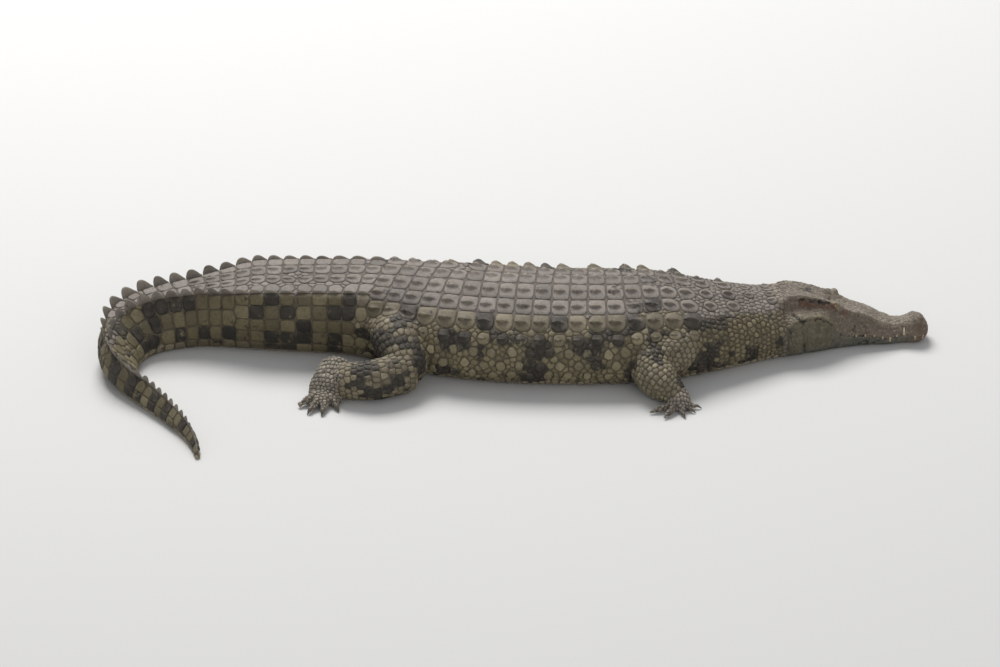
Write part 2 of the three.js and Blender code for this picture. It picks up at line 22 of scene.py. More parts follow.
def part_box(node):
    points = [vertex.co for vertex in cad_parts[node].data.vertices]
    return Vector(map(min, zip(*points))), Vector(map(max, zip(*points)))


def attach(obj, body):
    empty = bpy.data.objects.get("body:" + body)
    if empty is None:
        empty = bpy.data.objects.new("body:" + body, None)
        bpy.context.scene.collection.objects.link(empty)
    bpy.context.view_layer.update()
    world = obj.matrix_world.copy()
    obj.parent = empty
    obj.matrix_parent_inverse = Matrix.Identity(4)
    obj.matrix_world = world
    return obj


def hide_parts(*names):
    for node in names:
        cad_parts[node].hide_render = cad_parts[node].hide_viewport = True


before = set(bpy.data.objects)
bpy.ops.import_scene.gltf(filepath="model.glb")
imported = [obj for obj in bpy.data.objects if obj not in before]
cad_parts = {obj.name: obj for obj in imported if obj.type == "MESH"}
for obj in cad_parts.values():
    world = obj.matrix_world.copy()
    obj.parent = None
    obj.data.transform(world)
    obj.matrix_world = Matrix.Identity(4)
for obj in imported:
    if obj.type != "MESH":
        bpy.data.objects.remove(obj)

log = logging.getLogger("crocodile")

Array = np.ndarray
Triple = tuple[float, float, float]

MM = 0.001
SNOUT_TIP = (1310.0, 0.0)  # plan of the snout's tip, before the whole animal is centred
LENGTH = 3200.0  # along the spine
SPINE_STEP = 5.0
NECK_END = 730.0
TRUNK_END = 1690.0
SCUTE_ROWS = 18
WHORLS = 37
FIRST_WHORL = 52.0
TAIL_POINT = 14.0  # left bare at the tail's very tip
EVENING = 0.6  # share of the way to its neighbours' mean that a point goes when it is evened out


# ---- Small tools ----------------------------------------------------------------------------------


class Line:
    """A smooth curve through (station, value) pairs that never overshoots them."""

    def __init__(self, *pairs: tuple[float, float]) -> None:
        """Works out the tangents.

        Args:
            pairs: stations and values, in order.
        """
        self.x, self.y = (np.array(column, float) for column in zip(*pairs))
        self.h = np.diff(self.x)
        slope = np.diff(self.y) / self.h
        self.tangent = np.zeros(len(self.x))
        self.tangent[0], self.tangent[-1] = slope[0], slope[-1]
        before, after = slope[:-1], slope[1:]
        safe = np.where(before + after == 0, 1, before + after)
        self.tangent[1:-1] = np.where(before * after > 0, 2 * before * after / safe, 0)

    def __call__(self, s: Array | float) -> Array:
        """Values at the stations s.

        Args:
            s: stations.

        Returns:
            The values there.
        """
        s = np.asarray(s, float)
        i = np.clip(np.searchsorted(self.x, s, side="left") - 1, 0, len(self.h) - 1)
        h = self.h[i]
        u = np.clip((s - self.x[i]) / h, 0, 1)
        w = 1 - u
        ends = self.y[i] * w * w * (1 + 2 * u) + self.y[i + 1] * u * u * (3 - 2 * u)
        return ends + h * u * w * (self.tangent[i] * w - self.tangent[i + 1] * u)


def smooth(x: Array | float, low: float, high: float) -> Array:
    """A soft step from 0 at low to 1 at high."""
    u = np.clip((np.asarray(x, float) - low) / (high - low), 0, 1)
    return u * u * (3 - 2 * u)


def unit(v: Array) -> Array:
    """Rows of v at length 1."""
    return v / np.maximum(np.linalg.norm(v, axis=-1, keepdims=True), 1e-9)


def hashed(cell: Array, seed: int) -> Array:
    """A steady value from 0 to 1 for each row of whole numbers.

    Args:
        cell: whole numbers, (n, 3).
        seed: chooses among unlike results.

    Returns:
        The values, (n,).
    """
    spread = cell * np.array([73856093, 19349663, 83492791])
    mixed = spread[:, 0] ^ spread[:, 1] ^ spread[:, 2] ^ (seed * 2654435761)
    mixed = ((mixed ^ (mixed >> 13)) * 1274126177) & 0x7FFFFFFF
    mixed = ((mixed ^ (mixed >> 15)) * 974634777) & 0x7FFFFFFF
    return ((mixed ^ (mixed >> 16)) & 0xFFFF) / 65535.0


def value_noise(points: Array, size: float, seed: int = 0) -> Array:
    """Smooth noise from -1 to 1 in space.

    Args:
        points: places, (n, 3).
        size: distance over which the noise changes.
        seed: chooses among unlike results.

    Returns:
        The noise at each place, (n,).
    """
    grid = points / size
    low = np.floor(grid).astype(np.int64)
    part = grid - low
    part = part * part * (3 - 2 * part)
    total = np.zeros(len(points))
    for corner in range(8):
        bit = np.array([corner & 1, corner >> 1 & 1, corner >> 2 & 1])
        total += np.prod(np.where(bit, part, 1 - part), axis=1) * hashed(low + bit, seed)
    return 2 * total - 1


def line_distance(x: Array, y: Array, route: Sequence[tuple[float, float]], stretch: float) -> Array:
    """How far flat places lie from a route of straight stretches.

    Args:
        x, y: the places.
        route: the route's corners.
        stretch: what one unit of y is worth in units of x.

    Returns:
        The distances, in units of x.
    """
    best = np.full(np.broadcast(x, y).shape, np.inf)
    for (x0, y0), (x1, y1) in zip(route, route[1:]):
        dx, dy = x1 - x0, (y1 - y0) * stretch
        px, py = x - x0, (y - y0) * stretch
        u = np.clip((px * dx + py * dy) / (dx * dx + dy * dy), 0, 1)
        best = np.minimum(best, np.hypot(px - u * dx, py - u * dy))
    return best


def select(*pieces: bpy.types.Object) -> None:
    """Makes the pieces object mode's only selection, and the first of them active.

    Args:
        pieces: the meshes.
    """
    for chosen in bpy.context.selected_objects:
        chosen.select_set(False)
    for piece in pieces:
        piece.select_set(True)
        bpy.context.view_layer.objects.active = pieces[0]


def link(name: str, data: bpy.types.ID) -> bpy.types.Object:
    """Makes an object of a mesh, lamp or camera and puts it in the scene.

    Args:
        name: the object's name.
        data: what it shows.

    Returns:
        The object.
    """
    made = bpy.data.objects.new(name, data)
    bpy.context.scene.collection.objects.link(made)
    return made


def apply_modifier(piece: bpy.types.Object, kind: str, **settings: object) -> None:
    """Adds a modifier, sets it and applies it.

    Args:
        piece: the object that takes it.
        kind: the modifier's type.
        settings: its properties.
    """
    select(piece)
    modifier = piece.modifiers.new(kind.lower(), kind)
    for name, value in settings.items():
        setattr(modifier, name, value)
    bpy.ops.object.modifier_apply(modifier=modifier.name)


class Mesh:
    """Points and faces being gathered for one object, in millimetres."""

    def __init__(self) -> None:
        """Starts empty."""
        self.points: list[Array] = []
        self.faces: list[Array] = []
        self.count = 0

    def add(self, points: Array, *faces: Array) -> None:
        """Takes one lump.

        Args:
            points: its points, (n, 3).
            faces: arrays of faces, which number the points from 0.
        """
        self.points.append(points)
        self.faces.extend(f + self.count for f in faces)
        self.count += len(points)

    def add_rings(self, rings: Array, nose: Array | None = None, end: Array | None = None) -> None:
        """Skins rings of equal size and closes both ends with fans, facing outwards.

        Args:
            rings: (rings, points, 3).
            nose: the point before the first ring, or its centre.
            end: the point past the last ring, or its centre.
        """
        count, n = rings.shape[:2]
        first, last = count * n, count * n + 1
        j = np.arange(n)
        k = (j + 1) % n
        base = np.arange(count - 1)[:, None] * n
        quads = np.stack([base + j, base + k, base + n + k, base + n + j], -1).reshape(-1, 4)
        low = np.stack([np.full(n, first), k, j], -1)
        high = np.stack([np.full(n, last), (count - 1) * n + j, (count - 1) * n + k], -1)
        nose = rings[0].mean(0) if nose is None else nose
        end = rings[-1].mean(0) if end is None else end
        points = np.vstack([rings.reshape(-1, 3), nose, end])
        corners = np.vstack([quads[:, :3], quads[:, [0, 2, 3]], low, high])
        a, b, c = (points[corners[:, i]] - points[0] for i in range(3))
        faces = (quads, low, high)
        if np.einsum("ij,ij->", a, np.cross(b, c)) < 0:
            faces = tuple(f[:, ::-1] for f in faces)
        self.add(points, *faces)

    def build(self, name: str, shift: Array) -> bpy.types.Object:
        """Makes the object, in metres.

        Args:
            name: its name.
            shift: moves the plan to the animal's place.

        Returns:
            The object, linked to the scene.
        """
        points = (np.vstack(self.points) + shift) * MM
        data = bpy.data.meshes.new(name)
        corners = np.concatenate([f.ravel() for f in self.faces])
        sizes = np.concatenate([np.full(len(f), f.shape[1]) for f in self.faces])
        starts = np.concatenate([[0], np.cumsum(sizes)[:-1]])
        data.vertices.add(len(points))
        data.vertices.foreach_set("co", points.astype(np.float32).ravel())
        data.loops.add(len(corners))
        data.loops.foreach_set("vertex_index", corners.astype(np.int32))
        data.polygons.add(len(sizes))
        data.polygons.foreach_set("loop_start", starts.astype(np.int32))
        data.update(calc_edges=True)
        data.validate()
        data.shade_smooth()
        return link(name, data)


def values_of(rows: Sequence, name: str, width: int, kind: type = np.float32) -> Array:
    """One property of all of a mesh's points, edges or loops, (n, width).

    Args:
        rows: the collection.
        name: the property.
        width: how many numbers it has.
        kind: their type.

    Returns:
        The values, (n, width).
    """
    flat = np.zeros(len(rows) * width, kind)
    rows.foreach_get(name, flat)
    return flat.reshape(-1, width)


def points_of(piece: bpy.types.Object, shift: Array) -> Array:
    """The mesh's points in the plan's millimetres."""
    return values_of(piece.data.vertices, "co", 3).astype(float) / MM - shift


def normals_of(piece: bpy.types.Object) -> Array:
    """The normals at a piece's points."""
    return values_of(piece.data.vertex_normals, "vector", 3).astype(float)


def set_points(piece: bpy.types.Object, points: Array, shift: Array) -> None:
    """Moves the mesh's points, given in the plan's millimetres."""
    piece.data.vertices.foreach_set("co", ((points + shift) * MM).astype(np.float32).ravel())
    piece.data.update()


def set_mask(piece: bpy.types.Object, name: str, values: Array) -> None:
    """Keeps a value for each point as an attribute that materials read."""
    layer = piece.data.attributes.new(name, "FLOAT", "POINT")
    layer.data.foreach_set("value", values.astype(np.float32))


def tree_of(piece: bpy.types.Object, shift: Array) -> BVHTree:
    """A search tree of the mesh's faces in the plan's millimetres."""
    faces = [tuple(p.vertices) for p in piece.data.polygons]
    return BVHTree.FromPolygons([Vector(p) for p in points_of(piece, shift)], faces)


def nearest(tree: BVHTree, points: Array) -> tuple[Array, Array, Array]:
    """The nearest places of a surface.

    Args:
        tree: the surface.
        points: where from, (n, 3).

    Returns:
        The places, the faces' normals there, and the distances.
    """
    found = [tree.find_nearest(p) for p in points.tolist()]
    spots = np.array([f[0] for f in found], float)
    normals = np.array([f[1] for f in found], float)
    return spots, normals, np.array([f[3] for f in found], float)


def smoothed(piece: bpy.types.Object, points: Array, weight: Array, rounds: int) -> Array:
    """Evens out some of a mesh's points.

    Args:
        piece: gives the edges.
        points: its points.
        weight: 0 leaves a point, 1 evens it out fully.
        rounds: how many times.

    Returns:
        The moved points.
    """
    a, b = values_of(piece.data.edges, "vertices", 2, np.int32).T
    used = (weight[a] > 0) | (weight[b] > 0)
    a, b = a[used], b[used]
    both, other = np.concatenate([a, b]), np.concatenate([b, a])
    count = np.maximum(np.bincount(both, minlength=len(points)), 1)
    points = points.copy()
    for _ in range(rounds):
        total = np.stack([np.bincount(both, points[other, i], len(points)) for i in range(3)], 1)
        points += EVENING * weight[:, None] * (total / count[:, None] - points)
    return points


# ---- The lines of the body ------------------------------------------------------------------------

HEADING = Line(  # of the spine, degrees to the animal's right, tailwards
    (0, 0), (350, 2), (430, 7), (500, 12), (600, 14.5), (700, 11), (800, 6), (900, 4), (1000, 0.5),
    (1150, -3), (1300, -5), (1400, -7), (1500, -13), (1600, -15.5), (1700, -12), (1780, -6),
    (1860, -2), (1960, -1.5), (2060, -1), (2160, 2), (2240, 10), (2300, 20), (2370, 29), (2420, 42),
    (2470, 57), (2520, 72), (2570, 85), (2630, 98), (2690, 111), (2770, 121), (2860, 125),
    (3000, 120), (3100, 110), (LENGTH, 95),
)
CROWN = Line(  # height of the top on the midline
    (0, 40), (6, 58), (16, 71), (30, 81), (48, 83), (66, 76), (88, 69), (110, 69), (130, 77),
    (150, 84), (174, 97), (208, 110), (240, 117), (269, 125), (300, 134), (330, 150), (360, 163),
    (400, 173), (430, 176), (455, 174), (500, 174), (570, 185), (640, 199), (700, 208), (750, 219),
    (850, 234), (950, 237), (1150, 236), (1350, 237), (1450, 239), (1550, 234), (1650, 229),
    (1750, 222), (1850, 216), (1960, 213), (2060, 209), (2165, 191), (2230, 181), (2300, 171),
    (2430, 156), (2520, 140), (2630, 118), (2750, 91), (2900, 70), (3050, 52), (3150, 32),
    (LENGTH, 14),
)
WIDE = Line(  # half-width at the lip, and behind the head at the widest line
    (0, 3), (3, 18), (10, 32), (22, 43), (45, 50), (62, 48), (76, 46), (92, 49), (120, 57), (150, 60),
    (190, 63), (230, 69), (270, 80), (310, 94), (350, 107), (400, 124), (450, 134), (500, 147),
    (570, 160), (640, 179), (700, 199), (750, 214), (850, 238), (950, 250), (1050, 253), (1150, 256),
    (1250, 260), (1350, 256), (1450, 245), (1550, 218), (1650, 191), (1750, 168), (1850, 156),
    (1960, 148), (2060, 136), (2165, 117), (2300, 96), (2430, 82), (2520, 70), (2600, 58), (2700, 47),
    (2800, 37), (2900, 30), (3000, 24), (3100, 16), (LENGTH, 6),
)
LIP = Line(  # height of that line
    (0, 30), (20, 27), (45, 29), (62, 35), (76, 42), (90, 36), (120, 28), (150, 33), (180, 41),
    (214, 42), (250, 46), (285, 68), (306, 100), (346, 125), (401, 127), (440, 114), (480, 95),
    (560, 88), (900, 92), (1560, 90), (1750, 90), (1950, 84), (2250, 68), (2500, 50), (2750, 32),
    (3050, 18), (LENGTH, 6),
)
EDGE = Line(  # half-width of the top's edge: snout ridge, brow, skull table, back shield, tail crest
    (0, 2), (6, 13), (20, 22), (45, 24), (70, 22), (100, 26), (150, 31), (210, 34), (240, 37),
    (270, 41), (295, 44), (340, 42), (370, 43), (430, 50), (460, 58), (520, 66), (570, 70), (640, 80),
    (700, 95), (750, 104), (850, 112), (1000, 124), (1200, 128), (1350, 130), (1450, 128), (1550, 122),
    (1650, 116), (1750, 112), (1960, 112), (2060, 110), (2120, 97), (2180, 76), (2250, 57), (2400, 38),
    (2520, 20), (2640, 8), (2750, 4), (LENGTH, 2),
)
EDGE_DROP = Line(  # how far that edge lies below the midline
    (0, 6), (20, 4), (50, 3), (100, 7), (150, 7), (210, 5), (260, 0), (285, -12), (305, -14), (330, -5),
    (345, -2), (430, 0), (455, 4), (520, 12), (620, 15), (800, 18), (1150, 20), (1500, 16), (1700, 10),
    (1900, 5), (2250, 2), (LENGTH, 0),
)
LEAN = Line(  # how far the top leans to the animal's left in the tail's bend
    (0, 0), (2210, 0), (2300, 14), (2400, 36), (2500, 50), (2620, 46), (2750, 18), (2850, 0), (LENGTH, 0),
)
SOLE = Line(  # half-width of the flat underside
    (0, 1), (10, 12), (30, 26), (76, 30), (120, 36), (200, 44), (270, 58), (350, 84), (420, 98),
    (480, 104), (560, 114), (640, 128), (720, 145), (800, 165), (900, 180), (1100, 190), (1300, 185),
    (1450, 172), (1550, 145), (1650, 120), (1750, 108), (1950, 96), (2060, 88), (2250, 64), (2520, 40),
    (2750, 22), (3050, 9), (LENGTH, 3),
)
CHIN = Line((0, 24), (8, 12), (25, 3), (50, 0), (LENGTH, 0))
CHEEK_BULGE = Line(  # how far the flesh between the lines bulges, as a share of their distance
    (0, 0.15), (76, 0.12), (150, 0.12), (270, 0.03), (330, -0.06), (420, -0.06), (500, 0.1),
    (700, 0.17), (1150, 0.19), (1700, 0.17), (2100, 0.11), (2600, 0.07), (LENGTH, 0.05),
)
TEMPLE_BULGE = Line(
    (0, 0.2), (76, 0.15), (150, 0.12), (270, 0), (330, -0.16), (420, -0.2), (500, 0.08), (700, 0.15),
    (1150, 0.15), (1700, 0.14), (2100, 0.09), (2600, 0.05), (LENGTH, 0.03),
)
JOWL_BULGE = Line(
    (0, 0.12), (100, 0.12), (270, 0.12), (350, 0.2), (420, 0.22), (500, 0.18), (1700, 0.2),
    (2250, 0.14), (LENGTH, 0.1),
)
COAT_DEPTH = Line(  # how far the skin lies under the outline, to leave room for its scales
    (0, 0.8), (430, 1.2), (480, 2.4), (730, 3.6), (1690, 3.6), (2500, 2.6), (3000, 1.6), (LENGTH, 0.8),
)
LAST_PLACE = 7
ARC_STEPS = 140  # in which half a section is measured


class Hull:
    """The body from snout to tail as a surface of station and place."""

    def __init__(self) -> None:
        """Lays out the spine's plan."""
        steps = np.arange(SPINE_STEP / 2, LENGTH + 3 * SPINE_STEP, SPINE_STEP)
        turn = np.radians(HEADING(steps))
        moves = -SPINE_STEP * np.stack([np.cos(turn), np.sin(turn)], 1)
        self.spine = np.vstack([[0, 0], np.cumsum(moves, 0)]) + SNOUT_TIP

    def spine_at(self, s: Array) -> tuple[Array, Array]:
        """The plan point at each station, and the direction of the animal's left.

        Args:
            s: stations, of any shape.

        Returns:
            The plan points and the directions.
        """
        place = np.maximum(np.asarray(s, float), 0) / SPINE_STEP
        i = np.minimum(place.astype(int), len(self.spine) - 2)
        part = (place - i)[..., None]
        turn = np.radians(HEADING(s))
        return (
            self.spine[i] * (1 - part) + self.spine[i + 1] * part,
            np.stack([-np.sin(turn), np.cos(turn)], -1),
        )

    def corners(self, s: Array) -> Array:
        """The eight points of half a section at each station, (n, 8, 2), from belly to back.

        Args:
            s: stations, (n,).

        Returns:
            Offset and height of each, (n, 8, 2), from belly to back.
        """
        chin, crown, zero = CHIN(s), CROWN(s), np.zeros_like(s)
        rim = crown - EDGE_DROP(s)
        middle = ((zero, chin), (SOLE(s), chin), (WIDE(s), LIP(s)), (EDGE(s), rim), (zero, crown))
        belly, sole, widest, top_edge, top = (np.stack(pair, -1) for pair in middle)

        def bulged(a: Array, b: Array, share: float, bulge: Array) -> Array:
            """A point part-way along a-b, pushed outwards."""
            along = b - a
            return a + share * along + bulge[:, None] * np.stack([along[:, 1], -along[:, 0]], -1)

        jowl = bulged(sole, widest, 0.5, JOWL_BULGE(s))
        cheek = bulged(widest, top_edge, 0.33, CHEEK_BULGE(s))
        temple = bulged(widest, top_edge, 0.7, TEMPLE_BULGE(s))
        return np.stack([belly, sole, jowl, widest, cheek, temple, top_edge, top], 1)

    def half(self, s: Array, q: Array, depth: Array | float = 0.0) -> Array:
        """Points of half sections.

        Args:
            s: stations, (n,).
            q: places, (m,) for all stations or (n, m).
            depth: how far inside the outline, (n,) or a number.

        Returns:
            Offset and height of each, (n, m, 2).
        """
        corners = self.corners(s)
        mirror = np.array([-1, 1])
        ring = np.concatenate([corners[:, 1:2] * mirror, corners, corners[:, -2:-1] * mirror], 1)
        q = np.broadcast_to(q, (len(s), np.shape(q)[-1]))
        i = np.minimum(q.astype(int), LAST_PLACE - 1)
        u = (q - i)[..., None]
        rows = np.arange(len(s))[:, None]
        a, b, c, d = (ring[rows, i + k] for k in range(4))
        square, cube = 2 * a - 5 * b + 4 * c - d, 3 * b - a - 3 * c + d
        point = 0.5 * (2 * b + (c - a) * u + square * u**2 + cube * u**3)
        slope = 0.5 * ((c - a) + 2 * square * u + 3 * cube * u**2)
        point[..., 1] = np.maximum(point[..., 1], 0)
        out = unit(np.stack([slope[..., 1], -slope[..., 0]], -1))
        on_middle = (q <= 0) | (q >= LAST_PLACE)
        out[..., 0] = np.where(on_middle, 0, out[..., 0])
        point = point - out * np.broadcast_to(depth, (len(s),))[:, None, None]
        point[..., 0] = np.where(on_middle, 0, np.maximum(point[..., 0], 0))
        return point

    def in_space(self, s: Array, across: Array, up: Array) -> Array:
        """Points given by station, offset to the left and height, with the tail's lean.

        Args:
            s: stations.
            across: offsets to the left.
            up: heights.

        Returns:
            The points, in the plan.
        """
        spot, left = self.spine_at(s)
        across = across + LEAN(s) * up / CROWN(s)
        return np.concatenate([spot + left * across[..., None], up[..., None]], -1)

    def arcs(self, s: Array, q: Array) -> Array:
        """Lengths round each half section from the middle of the back to the places q, (n, m).

        Args:
            s: stations, (n,).
            q: places, (m,) for all stations or (n, m).

        Returns:
            The lengths, (n, m).
        """
        half = self.half(s, np.linspace(LAST_PLACE, 0, ARC_STEPS + 1))
        steps = np.linalg.norm(np.diff(half, axis=1), axis=2)
        run = np.concatenate([np.zeros((len(s), 1)), np.cumsum(steps, 1)], 1)
        place = (LAST_PLACE - np.broadcast_to(q, (len(s), np.shape(q)[-1]))) * (ARC_STEPS // LAST_PLACE)
        i = np.minimum(place.astype(int), ARC_STEPS - 1)
        rows = np.arange(len(s))[:, None]
        return run[rows, i] + (place - i) * (run[rows, i + 1] - run[rows, i])

    def places(self, s: Array, arc: Array) -> Array:
        """The places that lie at the lengths arc from the middle of the back, station by station.

        Args:
            s: stations, (n,).
            arc: a length for each, (n,).

        Returns:
            The places, (n,).
        """
        fine = np.linspace(LAST_PLACE, 0, ARC_STEPS + 1)
        run = self.arcs(s, fine)
        i = np.clip((run <= arc[:, None]).sum(1) - 1, 0, ARC_STEPS - 1)
        rows = np.arange(len(s))
        part = (arc - run[rows, i]) / np.maximum(run[rows, i + 1] - run[rows, i], 1e-6)
        return fine[i] + np.clip(part, 0, 1) * (fine[i + 1] - fine[i])

    def spots(self, s: Array, q: Array, side: int) -> Array:
        """Points of the outline, one for each station and place, on a side (1 left, -1 right)."""
        point = self.half(s, q[:, None])[:, 0]
        return self.in_space(s, side * point[:, 0], point[:, 1])

    def tailwards(self, s: Array) -> Array:
        """The spine's direction at each station."""
        turn = np.radians(HEADING(s))
        return np.stack([-np.cos(turn), -np.sin(turn), np.zeros_like(turn)], -1)


# ---- Limbs ----------------------------------------------------------------------------------------

Joint = tuple[float, float, float, float, float]
DOME = 0.4  # how far a length's rounded ends stand out, as a share of its half-width
WEB = 9.0  # height and half-height of the web between the toes
DOME_RINGS = (0.45, 0.8, 0.95)  # sizes of the rings on a rounded end, from its tip


@dataclass(frozen=True)
class Tube:
    """A length of flesh along joints, each (x, y, z of its middle, half-width, half-height)."""

    joints: tuple[Joint, ...]

    def path(self, t: Array) -> tuple[Array, Array]:
        """Middles and directions at the shares t of the way, on a centripetal spline.

        Args:
            t: shares of the way, (n,).

        Returns:
            The middles and the directions, both (n, 3).
        """
        p = np.array(self.joints, float)[:, :3]
        ring = np.vstack([2 * p[0] - p[1], p, 2 * p[-1] - p[-2]])
        last = len(p) - 1
        k = np.minimum((t * last).astype(int), last - 1)
        u = (t * last - k)[:, None]
        a, b, c, d = (ring[k + i] for i in range(4))
        gaps = [np.sqrt(np.linalg.norm(y - x, axis=1))[:, None] for x, y in ((a, b), (b, c), (c, d))]
        one = ((b - a) / gaps[0] - (c - a) / (gaps[0] + gaps[1]) + (c - b) / gaps[1]) * gaps[1]
        two = ((c - b) / gaps[1] - (d - b) / (gaps[1] + gaps[2]) + (d - c) / gaps[2]) * gaps[1]
        square, cube = 3 * (c - b) - 2 * one - two, 2 * (b - c) + one + two
        return b + u * (one + u * (square + u * cube)), unit(one + 2 * square * u + 3 * cube * u * u)

    def sizes(self, t: Array) -> Array:
        """Half-width and half-height at the shares t, (n, 2).

        Args:
            t: shares of the way, (n,).

        Returns:
            The half-sizes, (n, 2).
        """
        given = np.array(self.joints, float)[:, 3:]
        place = t * (len(given) - 1)
        return np.stack([np.interp(place, range(len(given)), given[:, i]) for i in range(2)], 1)

    def surface(self, t: Array, angle: Array, depth: Array | float) -> tuple[Array, Array, Array]:
        """Points at shares of the way and angles round it, with the directions and sizes there.

        Args:
            t: shares of the way, (n,).
            angle: angles round it, (n,).
            depth: how far inside its outline, (n,) or a number.

        Returns:
            The points, the directions and the half-sizes.
        """
        middle, ahead = self.path(t)
        flat = unit(np.cross([0, 0, 1], ahead))
        up = np.cross(ahead, flat)
        size = self.sizes(t) - np.reshape(depth, (-1, 1))
        turned = size * np.stack([np.cos(angle), np.sin(angle)], 1)
        return middle + flat * turned[:, :1] + up * turned[:, 1:], ahead, size

    def spots(self, t: Array, angle: Array) -> Array:
        """Points of its surface, none of them under the ground.

        Args:
            t: shares of the way, (n,).
            angle: angles round it, (n,).

        Returns:
            The points, (n, 3).
        """
        point = self.surface(t, angle, 0.0)[0]
        point[:, 2] = np.maximum(point[:, 2], 0)
        return point

    def length(self) -> float:
        """Length of the path."""
        middle = self.path(np.linspace(0, 1, 30))[0]
        return float(np.linalg.norm(np.diff(middle, axis=0), axis=1).sum())

    def rings(self, count: int, sides: int, depth: float, knots: float = 0.0) -> Array:
        """Rings of points along it and over its rounded ends.

        Args:
            count: how many along it.
            sides: points in each.
            depth: how far inside the outline.
            knots: how far its joints swell, as a share.

        Returns:
            The points, (rings, sides, 3).
        """
        t = np.repeat(np.linspace(0, 1, count), sides)
        angle = np.tile(2 * np.pi * np.arange(sides) / sides, count)
        swell = depth + knots * self.joints[0][3] * np.sin(3 * np.pi * t) ** 2
        point, ahead, size = self.surface(t, angle, swell)
        point = point.reshape(count, sides, 3)

        def dome(share: float, end: int) -> Array:
            """A ring of a rounded end, at the start (0) or the tip (-1).

            Args:
                share: its size, as a share of the end's.
                end: 0 or -1.

            Returns:
                The ring's points.
            """
            centre = point[end].mean(0)
            past = (1 if end else -1) * DOME * size[end, 0] * math.sqrt(1 - share * share)
            return centre + (point[end] - centre) * share + past * ahead[end]

        domes = [[dome(share, end) for share in DOME_RINGS] for end in (0, -1)]
        point = np.stack([*domes[0], *point, *domes[1][::-1]])
        point[..., 2] = np.maximum(point[..., 2], depth)
        return point


@dataclass(frozen=True)
class Limb:
    """A leg from its root inside the body to its toes."""

    name: str
    upper: tuple[Joint, ...]
    fore: tuple[Joint, ...]
    palm: Joint
    tips: tuple[tuple[float, float], ...]
    toe: float  # radius of a toe
    heel: Joint | None = None
    flesh: float = 1.8  # the coat's depth on it
    clawed: int = 3
    mesh_step: float = 3.6
    faces: int = 9500
    thick_rings: tuple[int, int] = (16, 28)  # of the leg and the palm: how many, and points in each
    toe_rings: tuple[int, int, float] = (12, 14, 0.16)  # and how far a toe's joints swell

    def palm_tube(self) -> Tube:
        """The hand or foot, from its root to the web between the toes.

        Returns:
            The tube.
        """
        root = self.heel or self.fore[-1]
        front = [self.palm[i] + 0.45 * (self.palm[i] - root[i]) for i in range(2)]
        return Tube((root, self.palm, (*front, WEB, self.palm[3] * 0.9, WEB)))

    def toes(self) -> list[Tube]:
        """Each toe, from inside the palm to its tip on the ground.

        Returns:
            The lengths of flesh, one for each toe.
        """
        made = []
        for tip in self.tips:
            end = np.array([*tip, 0.6 * self.toe])
            root = np.array(self.palm[:3]) * 0.82 + end * 0.18
            knuckle = root * 0.45 + end * 0.55
            knuckle[2] = 1.25 * self.toe
            made.append(Tube((
                (*root, self.toe, self.toe * 1.15),
                (*knuckle, self.toe, self.toe * 1.1),
                (*end, 0.6 * self.toe, 0.6 * self.toe),
            )))
        return made

    def tubes(self) -> list[Tube]:
        """All its lengths, from the body out."""
        return [Tube(self.upper), Tube(self.fore), self.palm_tube(), *self.toes()]

    def build(self, shift: Array) -> bpy.types.Object:
        """Makes its flesh as one closed skin.

        Args:
            shift: moves the plan to the animal's place.

        Returns:
            The leg, as a piece of its own.
        """
        mesh = Mesh()
        for i, tube in enumerate(self.tubes()):
            count, sides, *knots = self.toe_rings if i > 2 else self.thick_rings
            mesh.add_rings(tube.rings(count, sides, self.flesh, *knots))
        piece = mesh.build(self.name, shift)
        apply_modifier(piece, "REMESH", mode="VOXEL", voxel_size=self.mesh_step * MM)
        apply_modifier(piece, "SMOOTH", factor=0.5, iterations=14)
        share = self.faces / (2 * len(piece.data.polygons))
        apply_modifier(piece, "DECIMATE", ratio=min(1.0, share))
        return piece


LIMBS = (
    Limb(
        "fore_right",
        upper=((600, -170, 108, 66, 62), (535, -270, 104, 66, 64), (450, -318, 76, 68, 69)),
        fore=((450, -318, 76, 68, 69), (486, -386, 57, 61, 56), (536, -424, 31, 36, 30)),
        palm=(538, -452, 22, 36, 20),
        tips=((590, -452), (574, -474), (551, -502), (492, -520), (450, -487)),
        toe=11,
    ),
    Limb(
        "fore_left",
        upper=((600, 30, 108, 64, 60), (527, 130, 90, 62, 58), (450, 190, 62, 60, 60)),
        fore=((450, 190, 62, 60, 60), (496, 238, 50, 52, 48), (554, 264, 31, 35, 29)),
        palm=(568, 266, 21, 32, 20),
        tips=((616, 230), (648, 256), (644, 290), (600, 324), (552, 318)),
        toe=11,
    ),
    Limb(
        "hind_right",
        upper=((-318, -120, 118, 88, 70), (-302, -230, 119, 85, 75), (-280, -334, 64, 62, 63)),
        fore=((-280, -334, 63, 62, 62), (-376, -382, 62, 60, 61), (-474, -374, 53, 52, 53)),
        palm=(-514, -380, 36, 61, 34),
        tips=((-488, -462), (-530, -488), (-568, -480), (-602, -446)),
        toe=15,
        heel=(-490, -306, 58, 54, 48),
    ),
    Limb(
        "hind_left",
        upper=((-330, 90, 110, 84, 62), (-300, 180, 88, 74, 58), (-238, 262, 55, 54, 54)),
        fore=((-238, 262, 55, 54, 54), (-330, 292, 48, 45, 47), (-432, 296, 40, 38, 38)),
        palm=(-503, 304, 32, 54, 30),
        tips=((-616, 262), (-650, 296), (-646, 336), (-608, 372)),
        toe=15,
        heel=(-440, 284, 50, 50, 44),
    ),
)


# ---- The head's relief ------------------------------------------------------------------------------


